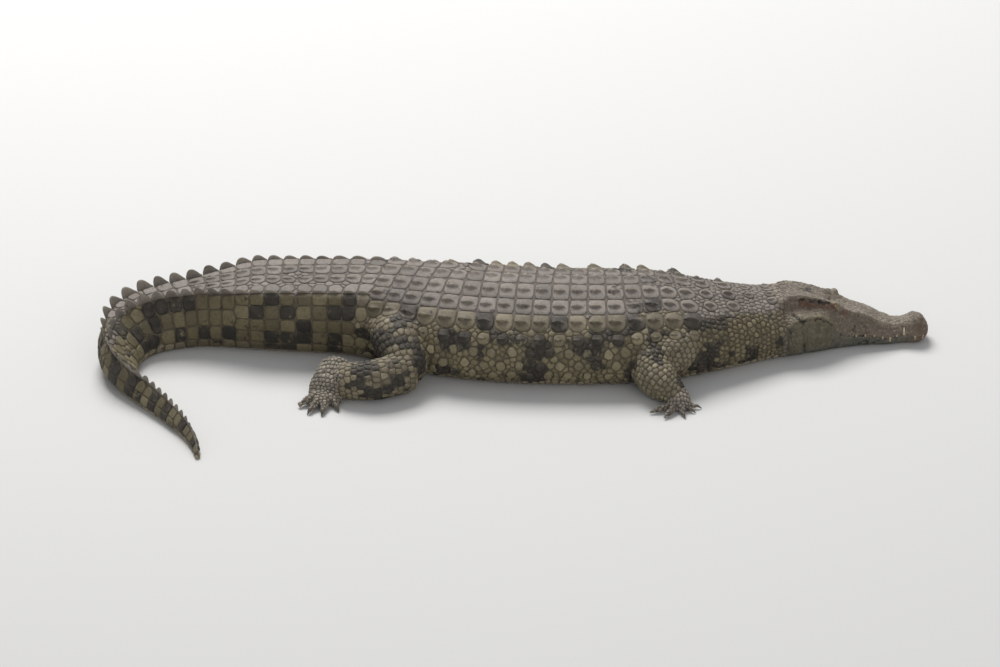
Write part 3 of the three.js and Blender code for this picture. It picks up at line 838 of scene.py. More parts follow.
@dataclass(frozen=True)
class Swell:
    """A low mound (or a dip, where high is negative) at a station and place."""

    station: float
    place: float
    long: float
    broad: float
    high: float

    def at(self, s: Array, q: Array) -> Array:
        """Its height at stations and places."""
        x, y = (s - self.station) / self.long, (q - self.place) * PLACE_WIDTH / self.broad
        return self.high * np.exp(-(x * x + y * y))


@dataclass(frozen=True)
class Fold:
    """A ridge (or a groove, where high is negative) along a route of stations and places."""

    route: tuple[tuple[float, float], ...]
    wide: float
    high: float

    def at(self, s: Array, q: Array) -> Array:
        """Its height at stations and places."""
        away = line_distance(s, q, self.route, PLACE_WIDTH) / self.wide
        return self.high * np.exp(-away * away)


PLACE_WIDTH = 28.0  # length round the head of one unit of place
MOUTH_CORNER = 404.0
LIP_LINE = 3.0  # place of the closed mouth
RELIEF_END = (860.0, 895.0)  # between these stations the relief of head and neck fades out
HEAD_FORMS = (
    # nostrils on their boss
    Swell(26, 6.35, 11, 10, 1.6),
    Swell(40, 6.9, 8, 10, -2.0),
    Fold(((16, 6.5), (21, 6.15), (29, 6.05), (33, 6.25)), 1.5, -4.0),
    # snout: its ridges, the dips beside them, and the roots of the big teeth
    Fold(((72, 6.05), (150, 6.0), (262, 6.0)), 4.5, 2.0),
    Fold(((120, 7.0), (235, 7.0)), 7.0, -1.4),
    Fold(((100, 4.7), (200, 4.6), (268, 4.7)), 7.0, -1.6),
    Swell(252, 6.7, 20, 12, -2.2),
    Swell(18, 3.7, 8, 9, 2.0),
    Swell(42, 3.75, 9, 10, 2.4),
    Swell(98, 3.7, 9, 10, 2.0),
    Swell(119, 3.75, 11, 12, 3.4),
    Swell(142, 3.7, 10, 10, 2.2),
    Swell(168, 3.6, 10, 10, 1.6),
    Swell(196, 3.6, 10, 10, 1.5),
    Swell(224, 3.6, 10, 10, 1.3),
    Swell(76, 2.5, 10, 12, 2.2),
    # brows and skull table
    Swell(288, 5.75, 20, 18, 2.6),
    Swell(262, 5.6, 14, 12, 1.6),
    Fold(((268, 6.2), (285, 6.4), (312, 6.35), (332, 6.1)), 4.0, 2.2),
    Swell(300, 7.0, 22, 14, -3.0),
    Fold(((336, 6.05), (362, 6.0), (425, 6.0), (452, 6.15)), 4.0, 2.6),
    Swell(392, 7.0, 34, 18, -1.6),
    # ear slit under the table's edge, with its flap
    Fold(((308, 5.72), (336, 5.68), (365, 5.62), (408, 5.55)), 3.8, -8.5),
    Fold(((344, 5.38), (372, 5.3), (400, 5.28)), 4.0, 1.6),
    # behind the eye, cheek and jaw muscle
    Swell(330, 4.9, 16, 16, 1.6),
    Swell(425, 2.7, 32, 36, 5.0),
    Swell(372, 4.3, 22, 14, -2.0),
    Fold(((399, 3.5), (402, 2.8), (399, 2.0), (390, 1.4)), 3.6, -3.6),
    Fold(((407, 3.05), (420, 3.5), (430, 4.3)), 3.0, -2.2),
    Fold(((344, 2.75), (350, 2.2), (347, 1.6)), 2.6, -1.5),
    Fold(((364, 2.75), (369, 2.2), (366, 1.6)), 2.6, -1.7),
    Fold(((382, 2.75), (386, 2.2), (382, 1.6)), 2.6, -1.7),
    Fold(((85, 1.9), (200, 1.9), (330, 1.9)), 6.0, 1.4),
    Fold(((70, 2.35), (200, 2.35), (320, 2.4)), 3.0, -1.2),
    # folds of the throat and the nape
    Fold(((458, 4.9), (462, 4.0), (457, 3.0), (452, 1.6)), 4.5, -4.5),
    Fold(((484, 4.6), (490, 3.4), (486, 2.2), (478, 0.6)), 5.0, -4.0),
    Fold(((516, 4.4), (524, 3.2), (520, 1.8), (508, 0.3)), 5.5, -3.6),
    Fold(((556, 4.2), (566, 3.0), (560, 1.4)), 6.0, -3.4),
    Fold(((604, 4.3), (612, 3.2), (606, 1.6)), 6.0, -3.0),
    Fold(((470, 7.0), (468, 6.0), (462, 5.0)), 4.5, -2.4),
    # folds in front of the shoulder
    Fold(((655, 4.3), (668, 3.4), (664, 2.2)), 6.5, -4.0),
    Fold(((712, 4.2), (726, 3.4), (724, 2.0)), 6.5, -5.0),
    Fold(((752, 4.4), (772, 3.5), (772, 2.0)), 7.0, -6.0),
    Swell(745, 3.0, 16, 40, 3.0),
    Swell(800, 3.3, 22, 40, 3.5),
)


def head_relief(s: Array, q: Array) -> Array:
    """How far the skin stands off the plain outline at stations and places of the head and neck.

    Args:
        s: stations, (n, 1).
        q: places, (1, m).

    Returns:
        The heights, (n, m).
    """
    mouth = np.abs(q - LIP_LINE) * PLACE_WIDTH
    open_part = smooth(s, 1, 6) * (1 - smooth(s, MOUTH_CORNER - 6, MOUTH_CORNER + 3))
    lips = 1.3 * np.exp(-(((mouth - 4.5) / 3) ** 2)) - 4.2 * np.exp(-((mouth / 1.9) ** 2))
    total = open_part * lips
    for form in HEAD_FORMS:
        total = total + form.at(s, q)
    return total


LID_BACK = 168.0  # degrees from the gaze at which the lids' ball ends
LID_RINGS = (  # degrees past the lid's margin, distance from the middle, and the upper lid's extra
    (-0.9, 0.88, 0.0), (-0.45, 0.88, 0.0), (-0.06, 0.88, 0.0), (0.0, 1.03, 0.0), (1.5, 1.075, 0.01),
    (4.0, 1.12, 0.02), (7.0, 1.09, 0.02), (10.0, 1.125, 0.03), (14.0, 1.08, 0.02), (18.0, 1.11, 0.03),
    (23.0, 1.07, 0.02), (29.0, 1.09, 0.02), (38.0, 1.07, 0.01), (50.0, 1.05, 0.0), (66.0, 1.08, 0.0),
    (90.0, 1.1, 0.0), (125.0, 1.08, 0.0),
)


@dataclass(frozen=True)
class Eyes:
    """The eyeballs with their lids, half shut."""

    station: float = 288.0
    across: float = 42.0
    up: float = 136.0
    radius: float = 13.0
    ahead: float = 0.22  # how the gaze leans forwards and upwards from straight sideways
    rise: float = 0.36
    half_long: float = 50.0  # half-sizes of the opening, in degrees as seen from the eye's middle
    half_upper: float = 19.0
    half_lower: float = 13.0
    columns: int = 56

    def middle(self, hull: Hull, side: int) -> Array:
        """The eyeball's middle."""
        s = np.array([self.station])
        return hull.in_space(s, np.array([side * self.across]), np.array([self.up]))[0]

    def axes(self, hull: Hull, side: int) -> tuple[Array, Array, Array]:
        """The gaze, the direction towards the snout across it, and upwards.

        Args:
            hull: the body.
            side: 1 left, -1 right.

        Returns:
            The three directions.
        """
        ahead = -hull.tailwards(np.array([self.station]))[0]
        left = hull.spine_at(np.array([self.station]))[1][0]
        gaze = unit(self.ahead * ahead + side * np.array([*left, 0]) + np.array([0, 0, self.rise]))
        front = unit(ahead - (ahead @ gaze) * gaze)
        up = np.cross(gaze, front) if side > 0 else np.cross(front, gaze)
        return gaze, front, up * np.sign(up[2])

    def lids(self, hull: Hull, side: int) -> Array:
        """Rings of a ball with an almond opening, whose floor lies behind the eyeball's surface.

        Args:
            hull: the body.
            side: 1 left, -1 right.

        Returns:
            The rings, (rings, columns, 3).
        """
        gaze, front, up = self.axes(hull, side)
        theta = 2 * np.pi * np.arange(self.columns) / self.columns
        c, d = np.cos(theta), np.sin(theta)
        height = np.where(d > 0, self.half_upper, self.half_lower)
        opening = (np.abs(c / self.half_long) ** 1.5 + np.abs(d / height) ** 1.5) ** (-1 / 1.5)
        upper = smooth(d, -0.2, 0.7)
        rings = []
        for past, far, extra in LID_RINGS:
            angle = opening * (1 + past) if past < 0 else opening + past
            angle = np.radians(np.minimum(angle, LID_BACK))
            shares = np.stack([np.cos(angle), np.sin(angle) * c, np.sin(angle) * d])[..., None]
            way = shares[0] * gaze + shares[1] * front + shares[2] * up
            rings.append(self.middle(hull, side) + self.radius * (far + extra * upper)[:, None] * way)
        return np.stack(rings)


# ---- Skin -------------------------------------------------------------------------------------------


SIDES = {1: "left", -1: "right"}


@dataclass
class Skin:
    """One closed skin over body, head and legs, which lies under the outline by the coat's depth."""

    hull: Hull
    shift: Array
    eyes: Eyes = field(default_factory=Eyes)
    columns: tuple[int, ...] = (9, 7, 10, 12, 10, 12, 16)  # cells across each unit of place, from the belly
    joint_reach: float = 15.0  # how far the joints between legs and body are rounded
    lid_reach: float = 9.0
    piece: bpy.types.Object | None = None

    def stations(self) -> Array:
        """Stations of its rings, closest on the head.

        Returns:
            The stations, in order.
        """
        spans = (
            (1.5, 60, 2.0), (60, 440, 2.8), (440, 900, 6.5), (900, TRUNK_END, 10), (TRUNK_END, LENGTH - 4, 9),
        )
        return np.concatenate([np.arange(a, b, step) for a, b, step in spans] + [[LENGTH - 3.0]])

    def body(self) -> bpy.types.Object:
        """The body's loft with the head's relief on it.

        Returns:
            The loft, closed at snout and tail.
        """
        s = self.stations()
        q = np.concatenate([i + np.arange(n) / n for i, n in enumerate(self.columns)] + [[LAST_PLACE]])
        half = self.hull.half(s, q, COAT_DEPTH(s))
        right = half[:, -2:0:-1] * np.array([-1, 1])
        ring = np.concatenate([half, right], 1)
        stations = np.repeat(s[:, None], ring.shape[1], 1)
        points = self.hull.in_space(stations.ravel(), ring[..., 0].ravel(), ring[..., 1].ravel())
        points = points.reshape(*ring.shape[:2], 3)
        around = np.roll(points, -1, 1) - np.roll(points, 1, 1)
        normal = unit(np.cross(np.gradient(points, axis=0), around))
        out = points - points.mean(1, keepdims=True)
        normal *= np.sign((normal * out).sum(-1, keepdims=True).mean(1, keepdims=True))
        relief = self.relief(s, np.concatenate([q, q[-2:0:-1]]), points)
        points = points + normal * relief[..., None]
        points[..., 2] = np.maximum(points[..., 2], 0.6)
        nose = self.hull.in_space(np.array([0.6]), np.array([0.0]), LIP(np.array([0.0])) + 6)[0]
        mesh = Mesh()
        mesh.add_rings(points, nose=nose)
        return mesh.build("skin", self.shift)

    def relief(self, s: Array, places: Array, points: Array) -> Array:
        """How far the skin stands off the plain outline.

        Args:
            s: the rings' stations, (n,).
            places: the places round a ring, (m,).
            points: the plain outline, (n, m, 3).

        Returns:
            The heights, (n, m).
        """

        def noise(size: float, seed: int) -> Array:
            """Noise at the points."""
            return value_noise(points.reshape(-1, 3), size, seed).reshape(points.shape[:2])

        high = head_relief(s[:, None], places[None, :]) * (1 - smooth(s, *RELIEF_END))[:, None]
        on_head = 1 - smooth(s, 430, 520)
        rough = 0.9 * noise(13, 3) + 0.5 * noise(6, 5)
        high += rough * on_head[:, None] * (0.35 + 0.65 * smooth(places, 3.4, 4.4))[None, :]
        soft = noise(90, 8) * smooth(s, 480, 800)[:, None]
        return high + 1.5 * soft * (1 - smooth(s, 1900, 2500))[:, None] * smooth(places, 1.4, 2.5)[None, :]

    def join(self, other: bpy.types.Object, operation: str) -> None:
        """Unites the skin with another solid, or cuts that from it, and deletes the other."""
        apply_modifier(self.piece, "BOOLEAN", operation=operation, solver="MANIFOLD", object=other)
        bpy.data.objects.remove(other)

    def build(self) -> bpy.types.Object:
        """Makes the skin.

        Returns:
            The piece.
        """
        self.piece = self.body()
        body_tree = tree_of(self.piece, self.shift)
        lids = []
        for side in SIDES:
            socket = Mesh()
            socket.add_rings(ball(self.eyes.middle(self.hull, side), self.eyes.radius * 1.05))
            self.join(socket.build("socket", self.shift), "DIFFERENCE")
            lid = Mesh()
            lid.add_rings(self.eyes.lids(self.hull, side))
            lids.append(lid.build("lid", self.shift))
        head_tree = tree_of(self.piece, self.shift)
        lid_trees = self.unite(lids)
        leg_trees = self.unite([limb.build(self.shift) for limb in LIMBS])
        points = points_of(self.piece, self.shift)
        points = self.round_joints(points, body_tree, leg_trees, self.joint_reach, 12)
        points = self.round_joints(points, head_tree, lid_trees, self.lid_reach, 6)
        points[:, 2] = np.maximum(points[:, 2], 0.5)
        set_points(self.piece, points, self.shift)
        self.piece.data.shade_smooth()
        return self.piece

    def unite(self, parts: list[bpy.types.Object]) -> list[BVHTree]:
        """Makes solids part of the skin, and gives the surfaces that they had.

        Args:
            parts: the solids, which are deleted.

        Returns:
            Their surfaces.
        """
        trees = [tree_of(part, self.shift) for part in parts]
        for part in parts:
            self.join(part, "UNION")
        return trees

    def round_joints(
        self, points: Array, body: BVHTree, parts: list[BVHTree], reach: float, rounds: int
    ) -> Array:
        """Evens out the skin where parts grow from the body.

        Args:
            points: the skin's points.
            body: the body's surface before the parts were joined to it.
            parts: the surfaces of the parts.
            reach: how far from both surfaces' meeting line the skin is evened.
            rounds: how often.

        Returns:
            The moved points.
        """
        weight = np.zeros(len(points))
        for part in parts:
            near = nearest_within(part, points, reach)
            rows = np.flatnonzero(near < reach)
            away = np.maximum(near[rows], nearest_within(body, points[rows], reach))
            weight[rows] = np.maximum(weight[rows], 1 - smooth(away, 0, reach))
        return smoothed(self.piece, points, weight, rounds)


def nearest_within(tree: BVHTree, points: Array, reach: float) -> Array:
    """Distances to a surface, where those past reach are reach."""
    found = [tree.find_nearest(p, reach) for p in points.tolist()]
    return np.array([reach if f[3] is None else f[3] for f in found], float)


def point_tree(points: Array) -> KDTree:
    """A tree of points, for finding the nearest.

    Args:
        points: the points, (n, 3).

    Returns:
        The tree.
    """
    tree = KDTree(len(points))
    for i, p in enumerate(points.tolist()):
        tree.insert(p, i)
    tree.balance()
    return tree


def ball(middle: Array, radius: float) -> Array:
    """Rings of a ball.

    Args:
        middle: its middle.
        radius: its radius.

    Returns:
        The rings, (rings, points, 3).
    """
    lift = np.radians(np.linspace(-80, 80, 15))
    turn = 2 * np.pi * np.arange(28) / 28
    x, y = (np.cos(lift)[:, None] * f(turn)[None] for f in (np.cos, np.sin))
    z = np.repeat(np.sin(lift)[:, None], len(turn), 1)
    return middle + radius * np.stack([x, y, z], -1)


# ---- Scales -----------------------------------------------------------------------------------------


class Coat(Enum):
    """The coat's pieces, named as they are shown."""

    BACK = "back_plates"
    NECK = "neck_scales"
    FLANK_LEFT = "flank_scales_left"
    FLANK_RIGHT = "flank_scales_right"
    BELLY = "belly_scales"
    TAIL_FORE = "tail_scales_fore"
    TAIL_REAR = "tail_scales_rear"
    HEAD = "head_scales"
    FORE_RIGHT = "foreleg_scales_right"
    FORE_LEFT = "foreleg_scales_left"
    HIND_RIGHT = "hind_leg_scales_right"
    HIND_LEFT = "hind_leg_scales_left"


COATS = tuple(Coat)
Coats = Coat | tuple[Coat, Coat]  # one piece for both sides, or the left's and the right's
LEG_COATS = {limb.name: Coat[limb.name.upper()] for limb in LIMBS}
SLOTS = {
    Coat.HEAD: "head_hide", Coat.TAIL_FORE: "tail_hide", Coat.TAIL_REAR: "tail_hide",
    **dict.fromkeys(LEG_COATS.values(), "leg_hide"),
}


@dataclass
class Roots:
    """Where scales grow: each root's place, direction and sizes."""

    spot: Array  # (n, 3)
    along: Array  # (n, 3), towards the rear or the toes
    radius: Array  # half its width, against its neighbours'
    high: Array
    keel: Array
    gap: Array  # to its neighbours
    coat: Array  # which piece, as a place in COATS
    sheet: Array  # (n, 2): its place on the unrolled skin, in millimetres
    rank: Array  # lower ranks push others away
    reach: Array  # how far from the skin it may be laid out
    long: Array  # its length against its width where it has room

    @classmethod
    def joined(cls, parts: "Sequence[Roots]") -> "Roots":
        """Several sets in one."""
        return cls(*(np.concatenate([getattr(p, each.name) for p in parts]) for each in fields(cls)))

    def moved(self, near: Array, points: Array, normals: Array) -> "Roots":
        """Chosen roots, each moved to a point of the skin near it, with the normals there.

        Args:
            near: which roots.
            points: where each goes.
            normals: the skin's normals there.

        Returns:
            The moved roots.
        """
        roots = self.picked(near)
        offset = points - roots.spot
        ways = (roots.along, np.cross(roots.along, normals))
        roots.sheet = roots.sheet + np.stack([(offset * way).sum(1) for way in ways], 1)
        roots.spot = points
        return roots

    def picked(self, rows: Array) -> "Roots":
        """Some of them, in the order of rows."""
        return Roots(*(getattr(self, each.name)[rows] for each in fields(self)))


@dataclass(frozen=True)
class Kind:
    """A kind of scale."""

    radius: float
    high: float
    keel: float = 0.0
    gap: float = 1.6
    jitter: float = 0.0
    rank: int = 2
    reach: float = 14.0
    long: float = 1.0


PLATE = Kind(radius=33, high=3.6, keel=13.0, gap=2.4, jitter=0.05, rank=0, long=0.85)
SIDE_PLATE = Kind(radius=20, high=4.2, keel=6.0, gap=3.0, jitter=0.1, rank=1, long=1.15)
NAPE_PLATE = Kind(radius=25, high=4.6, keel=12.0, gap=3.0, rank=0, long=1.15)
LOW_PLATE = Kind(radius=17, high=3.8, keel=6.0, gap=2.6, rank=0, long=1.15)
OVAL = Kind(radius=15.5, high=6.4, gap=3.2, jitter=0.18, rank=1, long=1.28)
FLANK = Kind(radius=8.6, high=4.2, gap=2.4, jitter=0.3)
UNDER = Kind(radius=15, high=3.2, gap=1.6, jitter=0.04)
BEAD = Kind(radius=7.4, high=4.6, gap=3.2, jitter=0.24)
WHORL = Kind(radius=22, high=3.2, gap=2.2, jitter=0.05, rank=1)
CRACK = Kind(radius=5.2, high=1.0, gap=1.0, jitter=0.34, reach=8)
CHIN_SCALE = Kind(radius=6.5, high=0.9, gap=1.1, jitter=0.25, reach=8)
LEG = Kind(radius=9.5, high=3.0, gap=2.0, jitter=0.14, rank=3, long=0.85)
ARM = Kind(radius=7.6, high=3.0, gap=2.0, jitter=0.1, rank=3, long=0.7)
PAW = Kind(radius=5.6, high=2.5, gap=1.3, jitter=0.2, rank=4, reach=8)
FILLER = Kind(radius=9.5, high=2.6, gap=1.8)  # the most that a scale on bare skin may be
CROWDING = 0.74  # of two scales nearer than this share of their radii, only the first stays
FULL_REACH = 1.5  # how far a scale grows where no neighbour stops it, in its radius
LARGE_SCALE = 14.0  # radius from which a scale has the large profile
# A profile's rings run from the skin to the top, each with its shares of the reach along and across, of
# the height and of the keel.
LARGE_PROFILE = np.array([
    (0.99, 1.04, -0.45, 0), (0.96, 1.01, 0.3, 0), (0.9, 0.95, 0.75, 0), (0.76, 0.82, 0.93, 0),
    (0.5, 0.5, 0.98, 0), (0.24, 0.24, 1.0, 0),
])
SMALL_PROFILE = np.array([
    (1.04, 1.04, -0.5, 0), (0.99, 0.99, 0.35, 0), (0.84, 0.84, 0.8, 0), (0.48, 0.48, 1.0, 0),
])
KEELED_PROFILE = np.array([
    (0.99, 1.03, -0.45, 0), (0.96, 1.0, 0.4, 0), (0.91, 0.95, 0.85, 0), (0.86, 0.6, 1.0, 0.04),
    (0.82, 0.3, 1.0, 0.2), (0.78, 0.12, 1.0, 0.7), (0.74, 0.03, 1.0, 1.0),
])
PATCH = 0.003  # a scale's patch as a share of its piece's map
KEEL_SHIFT = 0.1  # how far a keel lies to the rear, as a share of the scale's reach there
OWN_WAY = 0.55  # how far a scale stands up along its own normal and not along the skin's below each point
TILT = 0.16  # how far its rear stands up, as a share of its height
WEAR = 0.12  # how uneven its top is

SHIELD_SIDE = 4.15  # place of the row below the back's shield
PLATE_STEP = 12.0  # the large scales' jitter is a share of this
NAPE = (  # stations, kinds and lengths from the midline of the nape's keeled plates
    (625.0, NAPE_PLATE, (27, 82)), (694.0, NAPE_PLATE, (30, 88)), (492.0, LOW_PLATE, (16, 48)),
    (560.0, LOW_PLATE, (24,)),
)
OVAL_ROWS = ((44, 0.5), (84, 0.0), (122, 0.5), (158, 0.0))  # how far below the shield, and the rows' lag
FLANK_START = 42.0  # how far below the shield the flanks' small scales start
FORE_TAIL_END = 2300.0
SIDE_SCALE = 47.0  # width of the scales on the tail's sides, and under it
UNDER_SCALE = 42.0
FULL_WHORL = 46.0  # a ring of the tail at least this long has scales of full size


class Layout:
    """Lays roots out in cross rows over the body and along the legs."""

    def __init__(self, hull: Hull) -> None:
        """Starts with none.

        Args:
            hull: the body.
        """
        self.hull = hull
        self.parts: list[Roots] = []
        self.seed = 0

    def shake(self, count: int) -> Array:
        """Steady values from -1 to 1, (count, 2), unlike those of every earlier call.

        Args:
            count: how many.

        Returns:
            The values, (count, 2).
        """
        self.seed += 1
        cell = np.stack([np.arange(count), np.full(count, 7), np.full(count, 3)], 1)
        return np.stack([2 * hashed(cell, 2 * self.seed + i) - 1 for i in range(2)], 1)

    def on_body(self, coat: Coat, kind: Kind, s: Array | float, arc: Array, side: int, step: float) -> None:
        """Adds roots on one side of the body.

        Args:
            coat: the piece that they belong to.
            kind: their sizes.
            s: their stations, or their one station.
            arc: lengths round the section from the middle of the back.
            side: 1 for the left, -1 for the right.
            step: the rows' distance, which the jitter is a share of.
        """
        shake = self.shake(len(arc)) * kind.jitter * step
        s, arc = s + shake[:, 0], np.maximum(arc + shake[:, 1], 0)
        q = self.hull.places(s, arc)
        spot, along = self.hull.spots(s, q, side), self.hull.tailwards(s)
        self.keep(coat, kind, spot, along, np.stack([s, side * arc], 1))

    def keep(self, coat: Coat, kind: Kind, spot: Array, along: Array, sheet: Array) -> None:
        """Adds roots at points, with their directions and places on the unrolled skin.

        Args:
            coat: the piece that they belong to.
            kind: their sizes.
            spot: the points, (n, 3).
            along: the directions towards the rear or the toes, (n, 3).
            sheet: the places on the unrolled skin, (n, 2).
        """
        n = len(spot)
        vary = 1 + 0.5 * kind.jitter * self.shake(n)[:, 0]

        def full(value: float) -> Array:
            """The same value for each root."""
            return np.full(n, float(value))

        self.parts.append(Roots(
            spot, along, kind.radius * vary, full(kind.high), full(kind.keel), full(kind.gap),
            np.full(n, COATS.index(coat)), sheet, np.full(n, kind.rank), full(kind.reach), full(kind.long),
        ))

    def pair(self, coats: Coats, kind: Kind, s: Array | float, arc: Array, step: float) -> None:
        """Adds the same roots on both sides.

        Args:
            coats: one piece, or the left's and the right's.
            kind: their sizes.
            s: their stations, or their one station.
            arc: lengths round the section from the middle of the back.
            step: the rows' distance.
        """
        for i, side in enumerate(SIDES):
            self.on_body(coats if isinstance(coats, Coat) else coats[i], kind, s, arc, side, step)

    def rows(
        self, coats: Coats, kind: Kind, stations: Array, low: Callable, high: Callable, step: float,
        stagger: float = 0.5,
    ) -> None:
        """Adds cross rows on both sides of the body.

        Args:
            coats: the piece, or the left's and the right's.
            kind: the scales' sizes.
            stations: the rows' stations.
            low, high: the lengths round the section where a row starts and ends, of the station.
            step: the scales' distance in a row.
            stagger: how far every second row is moved, as a share of the step.
        """
        jitter_step = min(step, float(np.median(np.diff(stations))))
        for i, s in enumerate(stations):
            a, b = low(s), high(s)
            count = max(1, round((b - a) / step))
            arc = a + (b - a) * (np.arange(count) + 0.5 + (stagger * (i % 2) - stagger / 2)) / count
            self.pair(coats, kind, s, arc, jitter_step)

    def arc(self, q: float) -> Callable:
        """The length round the section to the place q, as a function of the station."""
        return lambda s: float(self.hull.arcs(np.array([s]), np.array([q]))[0, 0])

    def body(self) -> None:
        """Head, neck, trunk and tail."""
        hull, middle, belly = self.hull, self.arc(LAST_PLACE), self.arc(0)
        plate_rows, half_rows = trunk_rows(SCUTE_ROWS), trunk_rows(2 * SCUTE_ROWS)
        for q, kind in ((6.66, PLATE), (6.08, PLATE), (5.0, PLATE), (SHIELD_SIDE, SIDE_PLATE)):
            self.pair(Coat.BACK, kind, plate_rows, hull.arcs(plate_rows, np.array([q]))[:, 0], PLATE_STEP)
        for s, kind, arcs in NAPE:
            self.pair(Coat.NECK, kind, s, np.array(arcs, float), 10.0)
        flanks = (Coat.FLANK_LEFT, Coat.FLANK_RIGHT)
        for down, lag in OVAL_ROWS:
            stations = plate_rows + lag * (plate_rows[1] - plate_rows[0])
            arc = hull.arcs(stations, np.array([SHIELD_SIDE]))[:, 0] + down
            room = arc < hull.arcs(stations, np.array([1.9]))[:, 0]
            self.pair(flanks, OVAL, stations[room], arc[room], 26.0)
        shield = self.arc(4.95)
        self.rows(flanks, FLANK, half_rows, lambda s: shield(s) + FLANK_START, self.arc(1.35), 19)
        self.rows(Coat.BELLY, UNDER, half_rows, self.arc(1.35), belly, 33, 0.0)
        self.rows(Coat.NECK, BEAD, np.arange(466, 736, 15.5), middle, self.arc(1.6), 15.5)
        self.rows(Coat.BELLY, UNDER, np.arange(470, 730, 26), self.arc(1.6), belly, 30, 0.0)
        self.rows(Coat.HEAD, CRACK, np.arange(7, 462, 9.6), middle, self.arc(3.05), 10)
        self.rows(Coat.HEAD, CHIN_SCALE, np.arange(9, 462, 13), self.arc(2.95), belly, 13)
        self.tail()

    def tail(self) -> None:
        """The tail's rings of scales, of which the crest's rows are keeled."""
        stations = whorls()
        for start, end in zip(stations, stations[1:]):
            s = (start + end) / 2
            coat = Coat.TAIL_FORE if s < FORE_TAIL_END else Coat.TAIL_REAR
            crest, side_end, under = (self.arc(q)(s) for q in (6, 2.3, 0))
            count = max(2, round((side_end - crest) / SIDE_SCALE))
            sides = crest + (side_end - crest) * (np.arange(count) + 0.5) / count
            count = max(1, round((under - side_end) / UNDER_SCALE))
            unders = side_end + (under - side_end) * (np.arange(count) + 0.5) / count
            size = min(1.0, (end - start) / FULL_WHORL)
            top, keel = [], 0.0
            if crest > 55:
                top, keel = [0.3 * crest, 0.79 * crest], 8.0 * size
            elif crest > 18:
                top = [0.46 * crest]
            kind = replace(
                WHORL, radius=WHORL.radius * size * (1.0 if len(top) else 1.1),
                high=WHORL.high * (0.5 + 0.5 * size), gap=WHORL.gap * size,
            )
            keeled = replace(kind, keel=keel, rank=0)
            for side in SIDES:
                self.on_body(coat, kind, s, np.concatenate([top[1:], sides, unders]), side, PLATE_STEP)
                self.on_body(coat, keeled, s, np.array(top[:1]), side, PLATE_STEP)

    def legs(self) -> None:
        """Cross rows of scales along each leg."""
        for limb in LIMBS:
            start = 0.0
            small = limb.toe < 12
            for i, tube in enumerate(limb.tubes()):
                kind, step, around = (ARM, 12.0, 19.0) if small else (LEG, 19.0, 19.0)
                if i > 1:
                    kind, step, around = PAW, 11.0 - 1.5 * small, 11.0 - 1.5 * small
                length = tube.length()
                count = max(3, round(length / step))
                for row, t in enumerate((np.arange(count) + 0.5) / count):
                    size = tube.sizes(np.array([t]))[0]
                    many = max(6, round(math.pi * size.sum() / around))
                    angle = 2 * np.pi * (np.arange(many) + 0.5 * (row % 2)) / many
                    shake = self.shake(many) * kind.jitter * step
                    angle = angle + shake[:, 0] / size.mean()
                    share = np.clip(t + shake[:, 1] / length, 0, 1)
                    sheet = np.stack([start + share * length, angle * size.mean()], 1)
                    spot, along = tube.spots(share, angle), tube.path(share)[1]
                    self.keep(LEG_COATS[limb.name], kind, spot, along, sheet)
                start += length + 30


def trunk_rows(count: int) -> Array:
    """Stations of the middles of so many equal rows along the trunk."""
    return NECK_END + (TRUNK_END - NECK_END) * (np.arange(count) + 0.5) / count


def whorls() -> Array:
    """Stations where the tail's rings of scales start, which shorten towards the tip, and the last's end."""
    shrink = 2 * ((LENGTH - TAIL_POINT - TRUNK_END) / WHORLS - FIRST_WHORL) / (WHORLS - 1)
    return TRUNK_END + np.concatenate([[0], np.cumsum(FIRST_WHORL + shrink * np.arange(WHORLS))])


# stations and places
# the ear slit's route, along which a shadow under the skull table's edge is painted
EAR_SLIT = ((306, 5.74), (334, 5.7), (365, 5.64), (408, 5.56))
LID_BAND = ((258, 5.55), (300, 5.36), (340, 5.28), (398, 5.2))
# the closed mouth's line, along which shade is painted
GAPE = ((24, 3.0), (270, 3.0), (330, 3.05), (404, 3.0), (418, 3.45), (428, 4.2))
JAW_SPOTS = ((392, 1.9), (446, 2.6), (352, 3.9))
BLOTCHES = (  # station, place and half-sizes of the dark blotches on the right side
    (1365, 5.4, 30, 0.5), (1300, 4.3, 34, 0.32), (1185, 3.8, 34, 0.4), (1150, 5.35, 26, 0.5),
    (885, 5.7, 30, 0.6), (925, 4.9, 34, 0.34), (960, 4.65, 40, 0.3), (1005, 4.35, 44, 0.3),
    (1050, 3.85, 46, 0.34), (710, 4.7, 46, 0.34), (1425, 4.0, 36, 0.45), (1575, 5.45, 30, 0.4),
    (2025, 5.4, 26, 0.5), (1965, 4.5, 30, 0.32), (1900, 3.1, 30, 0.7), (1805, 4.7, 52, 0.34),
    (1770, 5.5, 30, 0.3), (2085, 4.65, 27, 0.5), (2140, 2.8, 27, 0.9), (2295, 4.95, 27, 0.7),
    (2240, 2.8, 24, 0.9), (2025, 2.5, 30, 0.7), (2440, 4.5, 26, 0.6), (2550, 4.8, 22, 0.6),
    (2460, 2.7, 24, 0.9), (2345, 2.75, 22, 0.9), (1820, 2.2, 44, 0.6), (1700, 3.3, 30, 0.4),
    (2390, 5.3, 60, 0.3), (2510, 3.6, 22, 0.8), (1955, 2.3, 22, 0.5), (2190, 4.9, 24, 0.4),
)
BAND_LENGTH = 92.0  # from one dark band of the tail's tip to the next
LEFT_LAG, LEFT_DROP = 57, 0.25  # how far the left side's blotches lie behind and below those


def cell_of(points: Array) -> Array:
    """A steady value from 0 to 1 for each scale."""
    return hashed(np.floor(points * 7).astype(int), 5)


